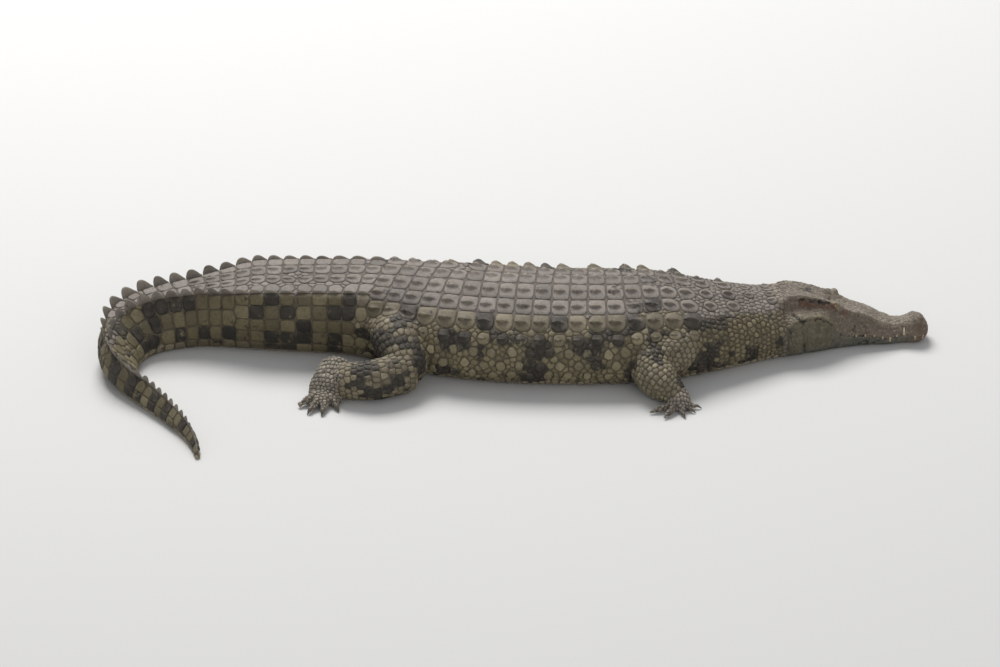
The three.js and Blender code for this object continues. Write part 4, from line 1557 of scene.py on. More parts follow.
def blotches(s: Array, q: Array, right: Array, ragged: Array) -> Array:
    """How far scales lie inside the dark blotches.

    Args:
        s, q: their stations and places.
        right: which of them are on the right side.
        ragged: noise that makes the blotches' edges uneven.

    Returns:
        1 inside, 0 outside.
    """
    best = np.zeros(len(s))
    for station, place, long, broad in BLOTCHES:
        x = (s - np.where(right, station, station + LEFT_LAG)) / long
        y = (q - np.where(right, place, place - LEFT_DROP)) / broad
        away = np.maximum(np.abs(x), np.abs(y)) + 0.16 * ragged
        best = np.maximum(best, 1 - smooth(away, 0.8, 1.15))
    return best


def head_shadows_and_spots(s: Array, q: Array) -> Array:
    """How dark painted shadow in the ear slit, painted shade along the mouth's line and the jaw's spots make
    the head at stations and places.

    Args:
        s: stations.
        q: places.

    Returns:
        How dark, from 0 to 1.6.
    """
    # painted shadow in the ear slit
    slot = 1 - smooth(line_distance(s, q, EAR_SLIT, PLACE_WIDTH), 3, 6)
    # painted shade along the closed mouth's line
    gape_shade = 1 - smooth(line_distance(s, q, GAPE, PLACE_WIDTH), 1.5, 4)
    spots = sum(np.exp(-((s - a) / 7) ** 2 - ((q - b) * PLACE_WIDTH / 7) ** 2) for a, b in JAW_SPOTS)
    return np.maximum(1.6 * np.maximum(slot, 0.8 * gape_shade), 0.9 * np.minimum(spots, 1))


@dataclass
class Scales:
    """All the scales, grown from roots on the skin until they meet their neighbours."""

    hull: Hull
    skin: bpy.types.Object
    eyes: Eyes
    shift: Array
    sides: int = 32  # directions in which an outline is looked for
    neighbours: int = 20
    corner: float = 14.0  # how square the corners are
    fill_rounds: int = 4
    tree: BVHTree | None = None
    roots: Roots | None = None
    normal: Array | None = None

    def settle(self) -> None:
        """Lays the roots on the skin, thins them where rows meet and fills what stays bare."""
        layout = Layout(self.hull)
        layout.body()
        layout.legs()
        roots = Roots.joined(layout.parts)
        self.tree = tree_of(self.skin, self.shift)
        roots.spot, normal, away = nearest(self.tree, roots.spot)
        order = np.flatnonzero((away < roots.reach) & self.free(roots))
        order = order[np.argsort(roots.rank[order], kind="stable")]
        roots, normal = roots.picked(order), normal[order]
        self.soften(roots)
        chosen = self.thinned(roots)
        roots, normal = roots.picked(chosen), normal[chosen]
        self.roots, self.normal = self.filled(roots, normal)

    def soften(self, roots: Roots) -> None:
        """Lowers the small scales on top of the neck and where the neck meets the head.

        Args:
            roots: the roots, whose heights and gaps are changed.
        """
        s = roots.sheet[:, 0]
        q = self.hull.places(np.clip(s, 1, LENGTH - 1), np.abs(roots.sheet[:, 1]))
        small = (roots.coat == COATS.index(Coat.NECK)) & (roots.rank > 0)
        near_neck = (roots.coat == COATS.index(Coat.HEAD)) & (s > 400)
        top = 1 - 0.5 * smooth(q, 4.6, 5.6)
        roots.high = roots.high * np.where(small, (0.4 + 0.6 * smooth(s, 462, 560)) * top, 1)
        roots.high = roots.high * np.where(near_neck, 1 + 1.2 * smooth(s, 400, 460), 1)
        roots.gap = roots.gap * np.where(small, top, 1)

    def free(self, roots: Roots) -> Array:
        """Which roots stay clear of mouth, eyes, nostrils and ear slits.

        Args:
            roots: the roots.

        Returns:
            True for each that may stay.
        """
        clear = np.ones(len(roots.spot), bool)
        for side in SIDES:
            away = np.linalg.norm(roots.spot - self.eyes.middle(self.hull, side), axis=1)
            clear &= away > self.eyes.radius + 7
        rows = np.flatnonzero(roots.coat == COATS.index(Coat.HEAD))
        s = roots.sheet[rows, 0]
        q = self.hull.places(s, np.abs(roots.sheet[rows, 1]))
        mouth = (s < MOUTH_CORNER + 4) & (np.abs(q - LIP_LINE) * PLACE_WIDTH < 5.2)
        ear = (s > 306) & (s < 410) & (q > 5.42) & (q < 5.85)
        nostril = (s > 12) & (s < 36) & (q > 5.8) & (q < 6.6)
        clear[rows] &= ~(mouth | ear | nostril)
        return clear

    def thinned(self, roots: Roots) -> Array:
        """Rows of the roots that stay when each pushes away later ones that are too near.

        Args:
            roots: the roots, in order of rank.

        Returns:
            The rows that stay.
        """
        tree = point_tree(roots.spot)
        kept = np.zeros(len(roots.spot), bool)
        radius = roots.radius.tolist()
        for i, p in enumerate(roots.spot.tolist()):
            near = tree.find_range(p, CROWDING * (radius[i] + PLATE.radius))
            kept[i] = not any(kept[j] and d < CROWDING * (radius[i] + radius[j]) for _, j, d in near if j < i)
        return np.flatnonzero(kept)

    def filled(self, roots: Roots, normal: Array) -> tuple[Roots, Array]:
        """Adds small scales where the skin is bare.

        Args:
            roots: the scales' roots.
            normal: the skin's normals at them.

        Returns:
            Roots and normals with the added ones.
        """
        points, normals = points_of(self.skin, self.shift), normals_of(self.skin)
        for _ in range(self.fill_rounds):
            tree = point_tree(roots.spot)
            found = [tree.find(p) for p in points.tolist()]
            near, away = (np.array([f[i] for f in found]) for i in (1, 2))
            size = np.minimum(roots.radius[near], FILLER.radius)
            reach = np.where(roots.rank[near] == 0, 1.85, 1.45) * roots.radius[near]
            bare = np.flatnonzero(away > reach + 3.2)
            if not len(bare):
                break
            cell = np.floor(points[bare] / (2.1 * size[bare])[:, None]).astype(int)
            rows = bare[np.unique(cell, axis=0, return_index=True)[1]]
            extra = roots.moved(near[rows], points[rows], normals[rows])
            extra.radius, extra.keel = size[rows], np.zeros(len(rows))
            extra.high, extra.gap = np.minimum(extra.high, FILLER.high), np.minimum(extra.gap, FILLER.gap)
            clear = self.free(extra)
            if not clear.any():
                break
            every = Roots.joined([roots, extra.picked(clear)])
            chosen = self.thinned(every)
            roots, normal = every.picked(chosen), np.vstack([normal, normals[rows[clear]]])[chosen]
        return roots, normal

    def outlines(self) -> Array:
        """How far each scale reaches in each direction round its root, (n, sides).

        Returns:
            The reaches, (n, sides).
        """
        roots, normal = self.roots, self.normal
        tree = point_tree(roots.spot)
        found = (tree.find_n(p, self.neighbours + 1) for p in roots.spot.tolist())
        near = np.array([[index for _, index, _ in each][1:] for each in found])
        ahead, across = self.axes()
        offset = roots.spot[near] - roots.spot[:, None]
        far = np.maximum(np.linalg.norm(offset, axis=2), 1e-3)
        u, v = (offset * ahead[:, None]).sum(2), (offset * across[:, None]).sum(2)
        flat = np.maximum(np.hypot(u, v), 1e-3)
        facing = (normal[near] * normal[:, None]).sum(2) > -0.3
        own, other = roots.radius[:, None], roots.radius[near]
        wall = (far * far + own * own - other * other) / (2 * far) - roots.gap[:, None] / 2
        wall = np.maximum(wall, 0.3 * own)
        angle = 2 * np.pi * np.arange(self.sides) / self.sides
        toward = (u / flat)[..., None] * np.cos(angle) + (v / flat)[..., None] * np.sin(angle)
        push = np.where(facing[..., None], np.maximum(toward, 0), 0) / wall[..., None]
        long = roots.long[:, None]
        cap = np.hypot(np.cos(angle) / long, np.sin(angle) * long) / (FULL_REACH * own)
        return ((push**self.corner).sum(1) + cap**self.corner) ** (-1 / self.corner)

    def axes(self) -> tuple[Array, Array]:
        """Directions along and across each scale, in its plane.

        Returns:
            Both, (n, 3) each.
        """
        along = self.roots.along
        ahead = unit(along - (along * self.normal).sum(1)[:, None] * self.normal)
        return ahead, np.cross(self.normal, ahead)

    def marks(self, roots: Roots) -> dict[str, Array]:
        """How dark, pale, tan, grey, green and warm scales are, from their places on the animal; dark
        includes painted shade.

        Args:
            roots: the scales' roots.

        Returns:
            The masks by their names, (n,) each.
        """
        s, arc = roots.sheet[:, 0], np.abs(roots.sheet[:, 1])
        on_leg = np.isin(roots.coat, [COATS.index(coat) for coat in LEG_COATS.values()])
        body = np.where(on_leg, 0.0, 1.0)
        at = np.clip(np.where(on_leg, 100, s), 1, LENGTH - 1)
        q = self.hull.places(at, np.where(on_leg, 0, arc))
        broad = value_noise(roots.spot, 58, 21) + 0.5 * value_noise(roots.spot, 24, 22)
        fine = value_noise(roots.spot, 15, 23)
        head = 1 - smooth(s, 440, 500)
        tail = smooth(s, 1640, 1760)
        back = smooth(q - 0.75 * tail, 4.9, 5.3)
        side = smooth(q, 1.2, 2.0) * (1 - back)
        belly = 1 - smooth(q, 1.1, 1.9)
        # the lower flank, which gets more of the dark blotches: painted shade mixed into the real blotches
        low = side * (1 - smooth(q, 2.7, 3.5)) * (1 - head) * (1 - tail)
        dark = smooth(broad + 0.3 * fine + 0.5 * low, 0.42, 0.62) * side * (1 - 0.6 * tail) * (1 - head)
        dark = np.maximum(dark, blotches(s, q, roots.sheet[:, 1] < 0, fine) * (side + 0.8 * back))
        band = np.sin(2 * np.pi * s / BAND_LENGTH + 1.2 * broad)
        band = smooth(band, 0.1, 0.6) * smooth(s, 2560, 2680)
        dark = np.maximum(dark, 0.9 * band * (1 - belly))
        dark = np.maximum(dark, 0.35 * smooth(broad, 0.25, 0.8) * back * (1 - tail))
        dark = np.maximum(dark, 0.35 * smooth(fine + 0.5 * broad, 0.6, 0.95) * head)
        on_head = head * body
        lids = 1 - smooth(line_distance(s, q, LID_BAND, PLACE_WIDTH), 7, 11)
        # the head's painted shadows in the ear slit and the mouth's line, with its own spots
        dark = np.maximum(dark * body * (1 - 0.8 * lids * on_head), on_head * head_shadows_and_spots(s, q))
        crown = smooth(q, 5.7, 6.1)
        canthus = np.exp(-(((q - 6.05) / 0.25) ** 2)) * smooth(s, 90, 130) * (1 - smooth(s, 250, 275))
        jaw = smooth(s, 285, 305) * (1 - smooth(s, 425, 470))
        jaw = jaw * smooth(q, 1.2, 1.7) * (1 - smooth(q, 3.6, 4.4))
        tip = 1 - smooth(s, 20, 60)
        # tan: how far a scale takes the sides' olive, a colour partly darkened as painted shade
        tan = 0.95 * side * (1 - on_head) + 0.12 * back * (1 - on_head) + on_head * (0.3 + 0.6 * jaw)
        cheek = 0.25 * jaw * smooth(q, 2.6, 3.4)
        pale = 0.7 * belly + on_head * (0.42 * crown * (1 - tip) + 0.4 * canthus + cheek)
        raised = (0.12 + 0.22 * (roots.rank == OVAL.rank)) * (1 - tail)
        pale += (0.1 * smooth(cell_of(roots.spot), 0.5, 0.95) + raised) * side * (1 - on_head)
        green = on_head * (1 - smooth(q, 2.7, 3.1)) * (1 - 0.6 * jaw) * smooth(s, 30, 90)
        warm = on_head * np.maximum(0.85 * lids, 0.5 * tip * (1 - crown))
        foot = roots.rank >= PAW.rank
        leg_dark = smooth(broad + 0.5 * fine, 0.12, 0.34)
        masks = {  # on the toes, on the rest of a leg, and elsewhere
            "dark": (0.3 * leg_dark, leg_dark, dark),
            "tan": (0.1, 0.8, tan),
            "pale": (0.65, 0.15 + 0.45 * smooth(fine, 0.0, 0.6), pale),
            "grey": (1.0, 0.2, back * (1 - on_head)),
            "green": (0.0, 0.0, green),
            "warm": (0.0, 0.0, warm),
        }
        chosen = {
            name: np.clip(np.where(on_leg, np.where(foot, toes, leg), other), 0, 1.3)
            for name, (toes, leg, other) in masks.items()
        }
        return {**chosen, "cell": cell_of(roots.spot)}

    def build(self) -> dict[Coat, bpy.types.Object]:
        """Makes every coat piece, and gives the skin the same markings.

        Returns:
            The pieces by their part of the coat.
        """
        self.settle()
        reach = self.outlines()
        marks = self.marks(self.roots)
        made = {}
        for i, coat in enumerate(COATS):
            rows = np.flatnonzero(self.roots.coat == i)
            if len(rows):
                made[coat] = self.piece(coat, rows, reach[rows], marks)
                log.info("%s: %d scales, %d faces", coat.value, len(rows), len(made[coat].data.polygons))
        self.mark_skin()
        return made

    def mark_skin(self) -> None:
        """Gives each point of the skin the markings that a scale would have there."""
        tree = point_tree(self.roots.spot)
        points, normals = points_of(self.skin, self.shift), normals_of(self.skin)
        near = np.array([tree.find(p)[1] for p in points.tolist()])
        for name, values in self.marks(self.roots.moved(near, points, normals)).items():
            set_mask(self.skin, name, values)
        # off the head the skin's rise is 0, so the finish paints the shade of the gaps between scales on it
        set_mask(self.skin, "rise", np.where(self.roots.coat[near] == COATS.index(Coat.HEAD), 0.7, 0.0))
        set_mask(self.skin, "keel", np.zeros(len(near)))

    def piece(self, coat: Coat, rows: Array, reach: Array, marks: dict[str, Array]) -> bpy.types.Object:
        """Makes one coat piece.

        Args:
            coat: which.
            rows: its roots.
            reach: how far each of its scales reaches, (n, sides).
            marks: the markings of all the roots.

        Returns:
            The piece, with its masks and its map of patches.
        """
        mesh, added = Mesh(), []
        keeled = self.roots.keel[rows] > 0
        large = (self.roots.radius[rows] > LARGE_SCALE) & ~keeled
        small = ~(large | keeled)
        kinds = ((keeled, 16, KEELED_PROFILE), (large, 16, LARGE_PROFILE), (small, 8, SMALL_PROFILE))
        for group, sides, profile in kinds:
            if group.any():
                angle, chosen = self.cornered(reach[group], sides)
                added.append(self.add_scales(mesh, rows[group], angle, chosen, profile, marks))
        masks, patches = zip(*added)
        made = mesh.build(coat.value, self.shift)
        for name in masks[0]:
            set_mask(made, name, np.concatenate([m[name] for m in masks]))
        add_patches(made, np.vstack(patches))
        return made

    def cornered(self, reach: Array, sides: int) -> tuple[Array, Array]:
        """Fewer directions for each outline, turned so that its corners are kept.

        Args:
            reach: how far each scale reaches, (n, self.sides).
            sides: how many directions to keep.

        Returns:
            The directions' angles and how far the scales reach there, both (n, sides).
        """
        every = self.sides // sides
        turns = np.stack([reach[:, i::every] for i in range(every)])
        best = (turns * np.roll(turns, -1, 2)).sum(2).argmax(0)
        angle = 2 * np.pi * (np.arange(sides)[None] * every + best[:, None]) / self.sides
        return angle, turns[best, np.arange(len(reach))]

    def add_scales(
        self, mesh: Mesh, rows: Array, angle: Array, reach: Array, profile: Array, marks: dict[str, Array]
    ) -> tuple[dict[str, Array], Array]:
        """Adds scales of one profile to a mesh.

        Args:
            mesh: takes them.
            rows: their roots.
            angle: the directions of their outlines, (n, sides).
            reach: how far each reaches there, (n, sides).
            profile: their rings.
            marks: the markings of all the roots.

        Returns:
            The masks of their points, and where the points lie on the unrolled skin.
        """
        roots = self.roots.picked(rows)
        n, sides = reach.shape
        ahead, across = (a[rows][:, None] for a in self.axes())
        share, narrow, lift, crest = profile.T

        def each(values: Array) -> Array:
            """The rings' values for all their points, and the last ring's for the top's middle."""
            return np.append(np.repeat(values, sides), values[-1])

        edge_u, edge_v = reach * np.cos(angle), reach * np.sin(angle)
        front, rear = -edge_u.min(1)[:, None], edge_u.max(1)[:, None]
        u = edge_u[:, None, :] * share[None, :, None] + (KEEL_SHIFT * rear * crest)[..., None]
        v = edge_v[:, None, :] * narrow[None, :, None]
        u = np.concatenate([u.reshape(n, -1), KEEL_SHIFT * rear * crest[-1]], 1)
        v = np.concatenate([v.reshape(n, -1), np.zeros((n, 1))], 1)
        count = u.shape[1]
        spot = roots.spot[:, None] + u[..., None] * ahead + v[..., None] * across
        flat = spot.reshape(-1, 3)
        on_skin, out, _ = nearest(self.tree, flat)
        out = unit((1 - OWN_WAY) * out + OWN_WAY * np.repeat(self.normal[rows], count, 0))
        ridge = smooth(u / np.where(u < 0, front, rear), -0.66, 0.3)
        ridge = ridge * (1 - 0.6 * smooth(u / rear, 0.5, 0.76)) * each(crest)
        rise = each(lift)[None, :]
        half_width = np.minimum(edge_v.max(1) - edge_v.min(1), (front + rear)[:, 0]) / 2
        size = np.minimum(1, half_width / (0.8 * roots.radius))[:, None]
        high = roots.high[:, None] * size
        height = rise * high + np.clip(rise, 0, 1) * TILT * high * u / rear
        height += roots.keel[:, None] * size * ridge
        height += np.where(rise > 0.5, WEAR * high * value_noise(flat, 7, 31).reshape(u.shape), 0)
        points = on_skin + out * height.reshape(-1, 1)
        points[:, 2] = np.maximum(points[:, 2], 0)
        j, k = np.arange(sides), (np.arange(sides) + 1) % sides
        last = (len(share) - 1) * sides
        ring = np.arange(0, last, sides)[:, None]
        quads = np.stack([ring + j, ring + k, ring + sides + k, ring + sides + j], -1).reshape(-1, 4)
        fan = np.stack([last + j, last + k, np.full(sides, count - 1)], -1)
        start = (np.arange(n) * count)[:, None, None]
        mesh.add(points, *((f[None] + start).reshape(-1, f.shape[1]) for f in (quads, fan, j[None, ::-1])))
        masks = {name: np.repeat(values[rows], count) for name, values in marks.items()}
        masks["rise"] = np.tile(np.clip(rise[0], 0, 1), n)
        # the keel's shape, which the finish reads to paint shade on its slopes and a highlight on its crest
        masks["keel"] = ridge.reshape(-1)
        turn = np.concatenate([np.tile(angle, len(share)), np.zeros((n, 1))], 1)
        outwards = np.append(np.repeat(share, sides), 0.0)[None, :, None]
        patch = outwards * np.stack([np.cos(turn), np.sin(turn)], 2) * PATCH / 2
        return masks, np.concatenate([np.repeat(roots.sheet, count, 0), patch.reshape(-1, 2)], 1)


def add_patches(piece: bpy.types.Object, places: Array) -> None:
    """Gives a piece its map, in which each scale is a small patch at its root's place.

    Args:
        piece: takes the map.
        places: for each point its root's place on the unrolled skin, and where it lies in the patch, (n, 4).
    """
    low, high = places[:, :2].min(0), places[:, :2].max(0)
    spread = (places[:, :2] - low) / np.maximum(high - low, 1)
    places = PATCH + spread * (1 - 2 * PATCH) + places[:, 2:]
    loops = values_of(piece.data.loops, "vertex_index", 1, np.int32)[:, 0]
    layer = piece.data.uv_layers.new(name="OFBake")
    layer.data.foreach_set("uv", places[loops].astype(np.float32).ravel())




@dataclass
class Crest:
    """The upright flaps along the tail: two rows that run together, and then one."""

    hull: Hull
    shift: Array
    rise_start: float = 1940.0
    rise_full: float = 2360.0
    join_from: float = 2590.0
    height: float = 31.0
    keel: float = 10.0  # their height before they rise
    thick: float = 6.5
    spread: float = 0.36  # how far the flaps lean outwards
    sweep: float = 0.22  # and to the rear
    root: float = 5.0  # how far they go into the tail
    cells: tuple[int, int] = (12, 6)

    def tall(self, s: float, side: int) -> float:
        """How tall the flap at a station stands.

        Args:
            s: the station of its middle.
            side: 1 left, -1 right, 0 on the midline.

        Returns:
            The height.
        """
        rising = smooth(s, self.rise_start, self.rise_full)
        tall = self.height * rising * (1 - 0.4 * smooth(s, 3050, LENGTH)) + self.keel * (1 - rising)
        tall *= 1 - 0.35 * float(smooth(s, self.join_from, self.join_from + 150))
        return float(tall * (0.93 + 0.1 * float(value_noise(np.array([[s, 60.0 * side, 0]]), 31, 4)[0])))

    def flap(self, mesh: Mesh, start: float, end: float, side: int) -> Array:
        """Adds one flap.

        Args:
            mesh: takes it.
            start, end: the stations of its ring of scales.
            side: 1 left, -1 right, 0 on the midline.

        Returns:
            How far up each of its points is.
        """
        thick = self.thick * min(1.0, (end - start) / FULL_WHORL) * (0.8 if side else 0.55)
        share, lift = np.meshgrid(*(np.linspace(0, 1, n + 1) for n in self.cells), indexing="ij")
        outline = 0.2 + 0.8 * (1 - np.abs(2 * share**1.35 - 1) ** 2.3)
        s = start + (end - start) * (0.03 + 0.96 * share)
        flat = s.ravel()
        q = np.full(s.size, 6.0 if side else 7.0)
        root = self.hull.half(flat, q[:, None], COAT_DEPTH(flat) + 1.5)[:, 0]
        base = self.hull.in_space(flat, side * root[:, 0], root[:, 1]).reshape(*s.shape, 3)
        left = self.hull.spine_at(s)[1]
        left = np.concatenate([left, np.zeros((*s.shape, 1))], -1)
        out = side * self.spread * (1 - smooth(s, 2350, 2600)) + LEAN(s) / CROWN(s)
        way = unit(np.array([0, 0, 1.0]) + left * out[..., None])
        way = unit(way + self.hull.tailwards(s) * self.sweep * lift[..., None])
        centre = base + way * ((self.tall((start + end) / 2, side) + self.root) * outline * lift)[..., None]
        half = 0.5 * thick * (1 - lift**1.6) ** 0.7
        half = half * np.sqrt(np.clip(1 - (2 * share - 1) ** 6, 0.02, 1)) + 0.45
        ripple = 0.5 * value_noise(centre.reshape(-1, 3), 9, 12).reshape(s.shape) * lift
        faces = [centre + left * (half + ripple)[..., None], centre - left * (half - ripple)[..., None]]
        mesh.add_rings(np.concatenate([faces[0], faces[1][:, ::-1]], axis=1))
        return np.concatenate([np.concatenate([lift, lift[:, ::-1]], 1).ravel(), [0.5, 0.5]])

    def build(self) -> bpy.types.Object:
        """Makes all the flaps as one piece with its masks and its map of patches.

        Returns:
            The piece.
        """
        mesh, lifts, sheet = Mesh(), [], []
        stations = whorls()
        for start, end in zip(stations, stations[1:]):
            for side in SIDES if start < self.join_from else (0,):
                lifts.append(self.flap(mesh, start, end, side))
                sheet.append(np.tile([start, 40.0 * side], (len(lifts[-1]), 1)))
        piece = mesh.build("tail_crest", self.shift)
        rise, sheet = np.concatenate(lifts), np.vstack(sheet)
        fine = value_noise(points_of(piece, self.shift), 30, 23)
        band = smooth(np.sin(2 * np.pi * sheet[:, 0] / BAND_LENGTH) + 1.5 * fine, 0.4, 1.2)
        masks = {
            # the flaps' roots, low in rise, take the finish's painted shade of the gaps
            "rise": 0.25 + 0.75 * rise,
            "dark": 0.45 * band * (1 - smooth(rise, 0.1, 0.6)) * smooth(sheet[:, 0], 2300, 2600),
            "tan": 0.15 * (1 - rise),
            "pale": 0.25 + 0.3 * smooth(rise, 0.25, 0.95),
            "grey": np.ones(len(rise)),
            "cell": hashed(np.floor(sheet).astype(int)[:, [0, 1, 1]], 9),
        }
        for name, values in masks.items():
            set_mask(piece, name, values)
        across = (np.arange(len(rise)) % 97 / 97 - 0.5) * PATCH * 0.7
        add_patches(piece, np.stack([*sheet.T, across, (rise - 0.5) * PATCH * 0.7], 1))
        return piece


# ---- Eyes, teeth and claws ----------------------------------------------------------------------------


def finish(piece: bpy.types.Object, name: str) -> bpy.types.Object:
    """Merges a piece's doubled points, turns all its faces outwards, shades it smooth and names it.

    Args:
        piece: the mesh.
        name: its name.

    Returns:
        The same piece.
    """
    select(piece)
    bpy.ops.object.mode_set(mode="EDIT")
    bpy.ops.mesh.select_all(action="SELECT")
    bpy.ops.mesh.remove_doubles(threshold=0.00002)
    bpy.ops.mesh.normals_make_consistent(inside=False)
    bpy.ops.object.mode_set(mode="OBJECT")
    bpy.ops.object.shade_smooth()
    piece.name = piece.data.name = name
    return piece


@dataclass
class Eyeball:
    """One eyeball, with the iris and its upright slit kept as masks."""

    eyes: Eyes
    hull: Hull
    shift: Array
    side: int
    iris: float = 46.0  # half-width, in degrees
    slit: tuple[float, float] = (4.5, 30.0)  # half-width and half-height of the pupil

    def build(self) -> bpy.types.Object:
        """Makes the eyeball.

        Returns:
            The piece.
        """
        middle = self.eyes.middle(self.hull, self.side)
        radius = self.eyes.radius * 0.985 * MM
        select()
        bpy.ops.mesh.primitive_uv_sphere_add(
            segments=64, ring_count=40, radius=radius, location=(middle + self.shift) * MM
        )
        piece = bpy.context.active_object
        bpy.ops.object.transform_apply(location=True)
        bpy.ops.object.shade_smooth()
        piece.name = piece.data.name = f"eyeball_{SIDES[self.side]}"
        way = unit(points_of(piece, self.shift) - middle)
        gaze, front, up = self.eyes.axes(self.hull, self.side)
        x, y = (np.degrees(np.arcsin(np.clip(way @ axis, -1, 1))) for axis in (front, up))
        ahead = way @ gaze > 0
        away = np.where(ahead, np.hypot(x, y), 90)
        set_mask(piece, "iris", 1 - smooth(away, self.iris - 5, self.iris))
        set_mask(piece, "rim", smooth(away, self.iris - 16, self.iris - 3))
        half = self.slit[0] * np.sqrt(np.clip(1 - (y / self.slit[1]) ** 2, 0, 1))
        set_mask(piece, "slit", np.where(ahead, 1 - smooth(np.abs(x) - half, -0.6, 0.9), 0))
        return piece


@dataclass(frozen=True)
class Teeth:
    """The teeth that show along the closed mouth."""

    hull: Hull
    shift: Array
    upper: tuple[Triple, ...] = (  # station, length, radius
        (18, 8, 3.2), (42, 9, 3.4), (98, 7, 3.2), (119, 11, 4.2), (142, 8, 3.6), (168, 7, 3.2),
        (196, 6, 3.2), (224, 6, 3.0),
    )
    lower: tuple[Triple, ...] = ((76, 17, 4.6),)
    bury: float = 6.0
    overlap: float = 3.0  # how far they start past the lip's line
    swell: float = 0.22
    lean: float = 0.12  # inwards

    def one(self, station: float, length: float, radius: float, side: int, way: int) -> bpy.types.Object:
        """Makes one tooth, a slightly swollen cone with a rounded point.

        Args:
            station: where it stands.
            length: how far it shows.
            radius: at its root.
            side: 1 left, -1 right.
            way: 1 for a tooth that points up, -1 for one that points down.

        Returns:
            The tooth.
        """
        whole = length + self.bury
        s = np.array([station])
        across = side * (WIDE(s) - 0.5 - COAT_DEPTH(s))
        middle = self.hull.in_space(s, across, LIP(s) + way * (length / 2 - self.overlap))[0]
        select()
        bpy.ops.mesh.primitive_cone_add(
            vertices=18, radius1=radius * MM, radius2=0.25 * radius * MM, depth=whole * MM,
            location=(middle + self.shift) * MM, rotation=(0 if way > 0 else math.pi, 0, 0),
        )
        tooth = bpy.context.active_object
        bpy.ops.object.transform_apply(location=True, rotation=True)
        apply_modifier(tooth, "BEVEL", width=0.12 * radius * MM, segments=2, limit_method="ANGLE")
        apply_modifier(tooth, "SUBSURF", levels=1, render_levels=1)
        points = points_of(tooth, self.shift)
        up = (points[:, 2] - middle[2]) / whole * way
        swell = 1 + self.swell * np.cos(np.pi * np.clip(up, -0.5, 0.5))
        points[:, :2] = middle[:2] + (points[:, :2] - middle[:2]) * swell[:, None]
        inwards = -side * np.array([*self.hull.spine_at(s)[1][0], 0.0])
        points += inwards * (self.lean * (up + 0.5) ** 2 * whole)[:, None]
        set_points(tooth, points, self.shift)
        set_mask(tooth, "rise", up + 0.5)
        return tooth

    def build(self) -> bpy.types.Object:
        """Makes all of them as one piece.

        Returns:
            The piece.
        """
        made = []
        for side in SIDES:
            made += [self.one(*size, side, -1) for size in self.upper]
            made += [self.one(*size, side, 1) for size in self.lower]
        select(*made)
        bpy.ops.object.join()
        return finish(made[0], "teeth")


@dataclass(frozen=True)
class Claw:
    """One claw: a curved cone of horn that grows out of a toe."""

    limb: Limb
    toe: int
    shift: Array
    length: float = 17.0
    buried: float = 8.0
    cuts: int = 7  # rings between its ends
    swell: float = 0.18
    arch: float = 0.165  # of its length
    floor: float = 0.9  # height of its tip's middle

    def build(self, name: str) -> bpy.types.Object:
        """Makes the claw.

        Args:
            name: its name.

        Returns:
            The piece.
        """
        end, way = (v[0] for v in self.limb.toes()[self.toe].path(np.array([1.0])))
        radius = 0.5 * self.limb.toe
        whole = self.length + self.buried
        select()
        bpy.ops.mesh.primitive_cone_add(
            vertices=20, radius1=radius * MM, radius2=0.16 * radius * MM, depth=whole * MM,
            end_fill_type="NGON",
        )
        claw = bpy.context.active_object
        bpy.ops.object.mode_set(mode="EDIT")
        for cut in np.linspace(-0.4, 0.4, self.cuts):
            bpy.ops.mesh.select_all(action="SELECT")
            bpy.ops.mesh.bisect(plane_co=(0, 0, float(cut) * whole * MM), plane_no=(0, 0, 1))
        bpy.ops.object.mode_set(mode="OBJECT")
        bevel = {"width": 0.12 * radius * MM, "segments": 2, "limit_method": "ANGLE", "angle_limit": 0.9}
        apply_modifier(claw, "BEVEL", **bevel)
        apply_modifier(claw, "SUBSURF", levels=1, render_levels=1)
        local = points_of(claw, np.zeros(3))
        t = local[:, 2] / whole + 0.5
        part = np.clip(t, 0, 1)
        ahead = unit(np.array([way[0], way[1], 0.0]))
        left = np.array([-ahead[1], ahead[0], 0.0])
        swell = 1 + self.swell * np.sin(np.pi * part)
        lift = self.arch * self.length * np.sin(np.pi * part**0.9)
        lift = lift - (end[2] - self.floor) * smooth(t, 0.35, 1.0)
        points = end - ahead * self.buried + np.array([0, 0, 0.3 * radius])
        points = points + ahead * (t * whole)[:, None] + left * (local[:, 0] * swell)[:, None]
        points[:, 2] += local[:, 1] * swell * 1.12 + lift
        points[:, 2] = np.maximum(points[:, 2], 0.05)
        set_points(claw, points, self.shift)
        set_mask(claw, "rise", t)
        return finish(claw, name)


# ---- Finishes -----------------------------------------------------------------------------------------

Colour = Triple
Socket = bpy.types.NodeSocket
Inputs = dict[int | str, object]


def linear(red: int, green: int, blue: int) -> Colour:
    """A colour given in steps of 0 to 255 as shown, as linear values."""
    shown = (c / 255 for c in (red, green, blue))
    return tuple(c / 12.92 if c <= 0.04045 else ((c + 0.055) / 1.055) ** 2.4 for c in shown)


